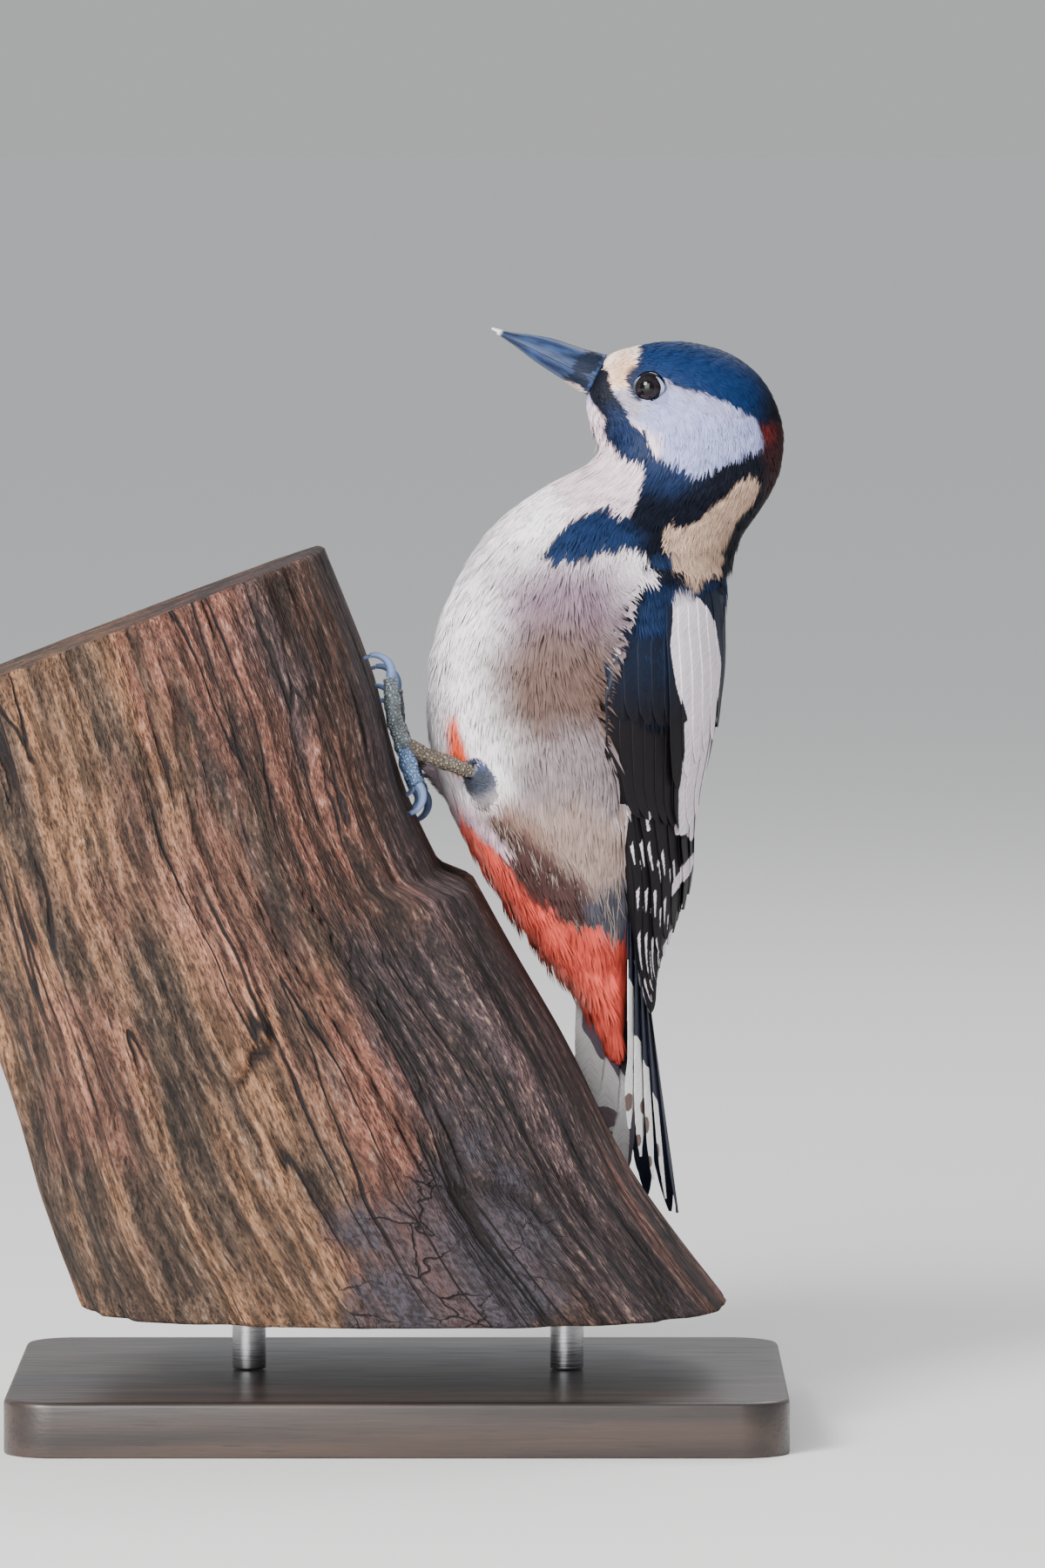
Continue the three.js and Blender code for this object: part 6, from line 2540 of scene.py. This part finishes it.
@dataclass
class Leg:
    """One leg: feathered thigh, bare shank, four toes and their claws."""

    name: str
    side: int
    skin: Material
    horn: Material
    plumage: Material
    lift: float = 3.1
    leg_side: float = 13.4
    thigh_top: tuple[float, float] = (-45.0, 149.0)
    thigh_inwards: float = 8.0
    ankle: float = 3.4
    thigh_radii: tuple[float, ...] = (6.4, 6.6, 6.0, 4.4, 2.7)
    thigh_feathers: int = 700
    heel: tuple[float, float] = (-54.8, 155.0)
    shank_radii: tuple[float, ...] = (2.1, 1.8, 1.75, 1.9, 2.3)
    toes: tuple[Toe, ...] = (
        Toe("inner_front", ((5.5, -3.2, -0.6), (10.5, -5.4, -0.6)), (1.9, 1.6, 1.35), 3.6),
        Toe("outer_front", ((7, 0.6, -0.6), (12.8, 1, 0.2), (16.6, 1, 0.9)), (2.1, 1.9, 1.8, 1.6), 4.4),
        Toe("outer_back", ((-4.6, 1.9, 0.3), (-9.4, 3.6, 1.0)), (2.1, 1.8, 1.55), 4.4, 0x8FB0E0),
        Toe("hind", ((-4.6, -2.4, -0.8), (-8.0, -4.2, -0.6)), (1.7, 1.4, 1.2), 2.9, 0x8FB0E0),
    )
    limb_rings: int = 70
    claw_rings: int = 44
    claw_arc: tuple[float, float] = (-25, 125)
    shank_colour: int = 0x857868
    knuckle_colour: int = 0x66717F
    # Height and Y of the left and the right foot on the bark.
    feet: Outline = ((162, -9.5), (158, 15.5))

    def __post_init__(self) -> None:
        """Finds the foot's place on the bark and its ways up, out to the side and off the bark."""
        height, y = self.feet[self.side < 0]
        at, above = perch_face(height, y), perch_face(height + 9, y)
        self.up = unit(above - at)
        self.aside = np.array([0, -self.side, 0.0])
        off = unit(np.cross(self.up, self.aside))
        self.off = off if off[0] > 0 else -off
        self.joint = at + self.off * self.lift

    def foot_point(self, steps: Array) -> Array:
        """A point from steps up the trunk, to the side and off the bark."""
        return self.joint + steps[0] * self.up + steps[1] * self.aside + steps[2] * self.off

    def limb(
        self, knots: list[Array], radii: tuple[float, ...], plates: float, pigment: int, sides: int = 20
    ) -> Shape:
        """A scaly limb along a curve through points: its radius swells between its creases.

        Args:
            knots: points that the curve goes through.
            radii: radii at even steps of the curve.
            plates: length of each scale along the limb.
            pigment: its colour.
            sides: points round it.

        Returns:
            A closed shape.
        """
        curve = np.array(knots)
        t = np.linspace(0, 1, self.limb_rings)
        path = spline(curve, t * (len(curve) - 1))
        radius = spline(np.array(radii)[:, None], t * (len(radii) - 1))[:, 0]
        run = run_along(path)
        angle = np.arange(sides) / sides * 2 * np.pi
        upper = ramp(np.sin(angle), -0.2, 0.6)[None, :]
        ring = np.abs(np.sin(np.pi * run / plates))[:, None] ** 0.6
        joints = 0.07 * np.cos(2 * np.pi * run / (run[-1] / (len(knots) - 1)))[:, None]
        size = radius[:, None] * (1 + upper * 0.09 * (ring - 0.6) + joints)
        close = np.sqrt(np.clip(1 - ((t[:, None] - 0.93) / 0.075) ** 2, 0.02, 1))
        size = np.where(t[:, None] > 0.93, size * close, size)
        rings = sweep(path, size, self.off + 0.01 * self.up, sides)
        warts = noise(rings / 0.8, 3) * 0.2 + noise(rings / 0.42, 4) * 0.08
        rings = rings + warts[..., None] * unit(rings - path[:, None])
        # Painted shade: on the upper side the creases between the scales, which the radius sinks, are
        # darker than the scales.
        crease_shaded_tone = mix(0.62, 1.08, np.clip(ring * upper + 1 - upper, 0, 1))
        crease_shaded_tone = crease_shaded_tone[..., None] * rgb(pigment)
        return tube(rings, {"pigment": crease_shaded_tone * (1 + 0.16 * noise(rings / 1.6, 9))[..., None]})

    def claw(self, before: Array, end: Array, root: float, radius: float) -> Shape:
        """A claw: a keeled section along an arc from the toe's end over and back into the bark.

        Args:
            before: the toe's last point but one.
            end: its last point.
            root: the claw's radius at its root.
            radius: the radius of the arc.

        Returns:
            A closed shape.
        """
        way = unit(end - before)
        start = end + 0.1 * way
        way = unit(way - 0.6 * (way @ self.off) * self.off)
        angle = np.radians(np.linspace(*self.claw_arc, self.claw_rings))
        first = math.radians(self.claw_arc[0])
        along = radius * (np.sin(angle) - math.sin(first))
        into = radius * (math.cos(first) - np.cos(angle))
        path = start + along[:, None] * way - into[:, None] * self.off
        t = np.linspace(0, 1, len(path))
        size = spline(np.array([[root], [root * 0.78], [root * 0.55], [0.2]]), t * 3)[:, 0]
        turn = np.arange(20) / 20 * 2 * np.pi
        keel = 1 + 0.14 * np.maximum(np.sin(turn), 0) ** 3 - 0.1 * np.maximum(-np.sin(turn), 0) ** 3
        rings = sweep(path, size[:, None] * keel[None, :], self.off, 20, 1.15)
        run = (t * radius * 2.6)[:, None]
        horn = np.stack(np.broadcast_arrays(run, np.cos(turn)[None], np.sin(turn)[None]), -1)
        tip = np.broadcast_to(ramp(t, 0.6, 1.0)[:, None], rings.shape[:2])
        return tube(rings, {"horn": horn * MM, "tip": tip.copy()})

    def knuckle(self) -> Shape:
        """The joint of the four toes: a warty ball.

        Returns:
            A closed ball.
        """
        polar = np.linspace(0.05, np.pi - 0.05, 24)[:, None]
        turn = circle(28)[None, :]
        x, y = np.sin(polar) * np.cos(turn), np.sin(polar) * np.sin(turn)
        ball = np.stack(np.broadcast_arrays(x, y, np.cos(polar)), -1)
        size = 2.3 * (1 + 0.1 * noise(ball * 3.1, 2))
        colour = one_colour(self.knuckle_colour, ball.shape[:2])
        return tube(self.joint + ball * size[..., None], {"pigment": colour})

    def thigh(self) -> None:
        """Makes the feathered thigh, with painted light and shade at the ankle, over a closed core darkened
        as painted shade.
        """
        face = ThighFace(self)
        u, v = np.linspace(0, 4.4, 30)[:, None], circle(40, -np.pi)[None, :]
        # The core's pigment is the thigh's own darkened, as painted shade between the feathers.
        core = tube(face.point(u, v, -0.9), {"pigment": self.shade(u + 0 * v, v + 0 * u) * 0.7})
        place(f"thigh_{self.name}_skin", core, self.plumage, Slot.LEG, (f"thigh_{self.name}",))
        rng = np.random.default_rng(SEED + 90)
        m, n = 30, 40
        weight = mix(0.5, 1.6, np.linspace(0, 1, m))[:, None] * np.ones((m, n))
        row, column = scatter(weight, self.thigh_feathers, rng)
        u, v = mix(0.2, 3.7, (row + 0.5) / m), ((column + 0.5) / n * 2 - 1) * np.pi
        ones = np.ones_like(u)
        length, lift = mix(6.5, 4.0, ramp(u, 1.5, 3.7)), rng.uniform(0, 1, len(u)) ** 2 * 1.6
        fans = Fans(face, u, v, length, 0 * u, 11, 3, 0.9 * ones, lift, rng)
        path, out, where = fans.paths()
        home = np.stack([where[:, :, 0, 0] * 0.1 + 0.4, where[:, :, 0, 1] * 0.05 + 0.5], axis=-1)
        colour = self.shade(where[:, :, 2, 0], where[:, :, 2, 1])
        shape = fans.shape(path, out, colour, home.reshape(-1, 2))
        place(f"thigh_{self.name}_feathers", shape, self.plumage, Slot.LEG)

    def shade(self, u: Array, v: Array) -> Array:
        """Pigment of the thigh: the belly's own at its top, and at the ankle painted light and shade, pale
        blue on the upper side and slate under it.

        Args:
            u: places along the thigh.
            v: angles from its upper side.

        Returns:
            Three linear numbers for each.
        """
        # Painted light and shade: the near ankle is pale blue on its upper side and slate on its under
        # side.
        ankle = mix(rgb(0x7C88AE), rgb(0x585C6A), ramp(np.cos(v), 0.7, -0.3)[..., None])
        if self.side < 0:
            ankle = one_colour(0xDCC6D0, v.shape)
        seen = ThighFace(self).point(u, v)
        upper = MARKINGS.colour(seen[..., [0, 2]])
        return mix(upper, ankle, ramp(u, 2.0, 3.5)[..., None])

    def build(self) -> None:
        """Makes the thigh, the foot and its claws."""
        self.thigh()
        heel = bird_point(self.heel[0], self.side * self.leg_side, self.heel[1])
        knots = [heel, (heel + self.joint) / 2, self.joint]
        shapes = [self.limb(knots, self.shank_radii, 1.5, self.shank_colour), self.knuckle()]
        claws = {}
        for toe in self.toes:
            knots = [self.joint] + [self.foot_point(np.array(step)) for step in toe.path]
            shapes.append(self.limb(knots, toe.radii, 0.85, toe.colour))
            claws[toe.name] = self.claw(*knots[-2:], toe.radii[-1] * 0.66, toe.claw_radius)
        place(f"foot_{self.name}_skin", joined(shapes), self.skin, Slot.FOOT, (f"foot_{self.name}",))
        for toe, claw in claws.items():
            node = f"claw_{self.name}_{toe}"
            place(f"{node}_horn", claw, self.horn, Slot.CLAW, (node,))


# ---- Stand -----------------------------------------------------------------------------------------


@dataclass(frozen=True)
class StainedWoodFinish:
    """Dark stained wood with a satin lacquer and fine straight pores."""

    name: str = "stained_wood"
    dark: Triple = linear(0x1E1613)
    light: Triple = linear(0x3B2B23)
    pore: Triple = linear(0x0E0A09)
    grain: Triple = (9.0, 160.0, 160.0)
    pores: Triple = (60.0, 1500.0, 1500.0)
    relief: float = 0.00006

    def build(self) -> Material:
        """The finish as a material.

        Returns:
            The material.
        """
        made, tree, shader = material(self.name, Coat_Weight=0.4, Coat_Roughness=0.28)
        grain = tree.noise(tree.place(), self.grain, 5)
        pores = tree.noise(tree.place(), self.pores, 2)
        colour = tree.tones(grain, 0.3, 0.7, self.dark, self.light)
        tree.feed(shader, "Base Color", tree.tones(pores, 0.38, 0.28, colour, self.pore))
        tree.feed(shader, "Roughness", tree.steps(pores, 0.3, 0.6, (0.6, 0.42)))
        tree.feed(shader, "Normal", tree.bump(pores, self.relief))
        return made


@dataclass(frozen=True)
class SteelFinish:
    """Brushed steel, its fine lines running round the rod."""

    name: str = "brushed_rod_steel"
    dark: Triple = linear(0x9C9C9E)
    light: Triple = linear(0xC9C9CC)
    lines: Triple = (120.0, 120.0, 9000.0)
    relief: float = 0.00002

    def build(self) -> Material:
        """The finish as a material.

        Returns:
            The material.
        """
        made, tree, shader = material(self.name, Metallic=1.0)
        lines = tree.noise(tree.place(), self.lines)
        tree.feed(shader, "Base Color", tree.tones(lines, 0.3, 0.7, self.dark, self.light))
        tree.feed(shader, "Roughness", tree.steps(lines, 0.3, 0.7, (0.26, 0.4)))
        tree.feed(shader, "Normal", tree.bump(lines, self.relief))
        return made


@dataclass
class Stand:
    """The base board and the two rods that carry the trunk."""

    wood: Material
    steel: Material
    length: float = 184
    depth: float = 136
    height: float = 13
    corner: float = 12
    rod_radius: float = 4
    rods: tuple[tuple[float, float], ...] = ((-36, 0), (40, 0))
    gap: float = 0.3
    # How far the board's outline is drawn in at each level of its edge.
    profile: Outline = (
        (3.0, 0.0), (0.5, 0.0), (0.12, 0.15), (0.0, 0.5), (0.0, 11.8), (0.09, 12.26), (0.35, 12.65),
        (0.72, 12.91), (1.2, 13.0), (2.4, 13.0), (6.0, 13.0),
    )
    # How far the rods' rims are drawn in at each distance from their ends.
    rod_rim: Outline = ((0.3, 0.0), (0.08, 0.08), (0.0, 0.3))

    def base(self) -> Shape:
        """A board with round corners: its outline drawn in and raised along a profile.

        Returns:
            A closed board.
        """
        quarter = np.linspace(0, np.pi / 2, 13)
        centre = np.array([self.length / 2 - self.corner, self.depth / 2 - self.corner])
        rings = []
        for inset, level in self.profile:
            parts = []
            for k, signs in enumerate(((1, 1), (-1, 1), (-1, -1), (1, -1))):
                angle = quarter + k * np.pi / 2
                arc = (self.corner - inset) * np.stack([np.cos(angle), np.sin(angle)], axis=1)
                parts.append(centre * signs + arc)
            outline = np.concatenate(parts)
            rings.append(np.column_stack([outline, np.full(len(outline), level)]))
        return tube(np.array(rings))

    def rod(self, middle: tuple[float, float]) -> Shape:
        """One rod, its rims rounded off.

        Args:
            middle: X and Y of its axis.

        Returns:
            A closed rod.
        """
        drawn, run = np.array(self.rod_rim).T
        radius = self.rod_radius - np.concatenate([drawn, drawn[::-1]])
        low, high = self.height + self.gap, PERCH_RINGS[0, 1] - self.gap
        level = np.concatenate([low + run, high - run[::-1]])[:, None]
        angle = circle(64)
        x, y = (at + radius[:, None] * way for at, way in zip(middle, (np.cos(angle), np.sin(angle))))
        return tube(np.stack(np.broadcast_arrays(x, y, level), axis=-1))

    def build(self) -> None:
        """Makes the board and the rods."""
        place("base_board", self.base(), self.wood, Slot.BASE, ("stand_base",))
        for number, at in enumerate(self.rods, 1):
            place(f"rod_{number}", self.rod(at), self.steel, Slot.ROD, (f"stand_rod_{number}",))


# ---- Stage -----------------------------------------------------------------------------------------


@dataclass(frozen=True)
class Studio:
    """A plain pale floor, soft lights and the camera."""

    aim: tuple[float, float, float] = (29.4, 27.0, 151.6)
    distance: float = 2500.0
    elevation: float = 3.5
    view_height: float = 378.0
    film: float = 36.0
    floor_colour: Triple = (0.8, 0.79, 0.77)
    horizon: Triple = (0.6, 0.605, 0.61)
    zenith: Triple = (0.74, 0.76, 0.8)
    sky_strength: float = 0.8
    reach: float = 400000.0
    clip: tuple[float, float] = (0.05, 2000.0)
    # Name, place, width and watts of each soft light.
    lamps: tuple[tuple[str, Triple, float, float], ...] = (
        ("key", (-1050, -1450, 1150), 700, 64),
        ("fill", (-600, -1500, 560), 1000, 30),
        ("rim", (500, 1100, 1500), 900, 14),
    )

    def build(self) -> None:
        """Makes the floor, the lights, the sky and the camera."""
        self.floor()
        self.lights()
        self.camera()

    def floor(self) -> None:
        """A wide flat floor."""
        made, _, shader = material("pale_floor", Roughness=0.7)
        shader.inputs["Base Color"].default_value = (*self.floor_colour, 1)
        corners = self.reach * np.array([[-1, -1, 0], [1, -1, 0], [1, 1, 0], [-1, 1, 0]])
        mesh_object("floor", Shape(corners, np.array([[0, 1, 2, 3]])), made)

    def lights(self) -> None:
        """The sky, the main light from the front left, a lower one beside it and a weak one from behind."""
        world = bpy.data.worlds.new("studio")
        bpy.context.scene.world = world
        world.use_nodes = True
        tree = Tree(world.node_tree)
        way = tree.add("ShaderNodeTexCoord").outputs["Generated"]
        level = tree.add("ShaderNodeSeparateXYZ", {0: way}).outputs["Z"]
        sky = tree.blend(tree.steps(level, 0.02, 0.35), self.horizon, self.zenith)
        background = world.node_tree.nodes["Background"]
        tree.feed(background, "Color", sky)
        tree.feed(background, "Strength", self.sky_strength)
        for name, where, size, power in self.lamps:
            lamp = bpy.data.lights.new(name, "AREA")
            lamp.size, lamp.energy = size * MM, power
            light = bpy.data.objects.new(name, lamp)
            bpy.context.scene.collection.objects.link(light)
            light.location = Vector(where) * MM
            light.rotation_mode = "QUATERNION"
            light.rotation_quaternion = (light.location - Vector(self.aim) * MM).to_track_quat("Z", "Y")
            light.visible_camera = False

    def camera(self) -> None:
        """A long lens level with the bird, a little above it."""
        lens = bpy.data.cameras.new("camera")
        lens.sensor_width, lens.sensor_fit = self.film, "AUTO"
        lens.lens = self.film * self.distance / self.view_height
        lens.clip_start, lens.clip_end = self.clip
        eye = bpy.data.objects.new("camera", lens)
        bpy.context.scene.collection.objects.link(eye)
        angle = math.radians(self.elevation)
        step = Vector((0, -math.cos(angle), math.sin(angle))) * self.distance
        eye.location = (Vector(self.aim) + step) * MM
        eye.rotation_mode = "QUATERNION"
        eye.rotation_quaternion = step.to_track_quat("Z", "Y")
        bpy.context.scene.camera = eye


def main() -> None:
    """Builds every piece in order."""
    logging.basicConfig(level=logging.INFO, format="%(name)s %(message)s")
    plumage = PlumageFinish().build()
    vanes = VaneFinish("wing_vanes", linear(0xE0D4DF)).build()
    tail_vanes = VaneFinish("tail_vanes", linear(0xFFFDFC)).build()
    # The bill's near-white tip colour is partly worn horn and partly painted highlight.
    bill_horn = HornFinish("bill_horn", linear(0x131D33), linear(0x2E4876), linear(0xE4E6EA)).build()
    claw_horn = HornFinish("claw_horn", linear(0x56688E), linear(0x8398C2), linear(0x7089C0)).build()
    scales = SkinFinish("foot_scales", 1150.0, 0.0004, 0.35, 0.42).build()
    lid_skin = SkinFinish("lid_skin", 2600.0, 0.00008, 0.75).build()
    place("skin", skin_shape(), plumage, Slot.BODY, ("head", "neck", "torso"))
    Coat(plumage).build()
    Tail(tail_vanes, plumage).build()
    bill = Bill(bill_horn)
    bill.build()
    Bristles(bill, plumage).build()
    glass = EyeFinish().build()
    for name, side in (("left", 1), ("right", -1)):
        Wing(name, side, vanes, plumage).build()
        Eye(name, side, glass, lid_skin).build()
        Leg(name, side, scales, claw_horn, plumage).build()
    Perch(WoodFinish().build()).build()
    Stand(StainedWoodFinish().build(), SteelFinish().build()).build()
    Studio().build()


if __name__ == "__main__":
    main()
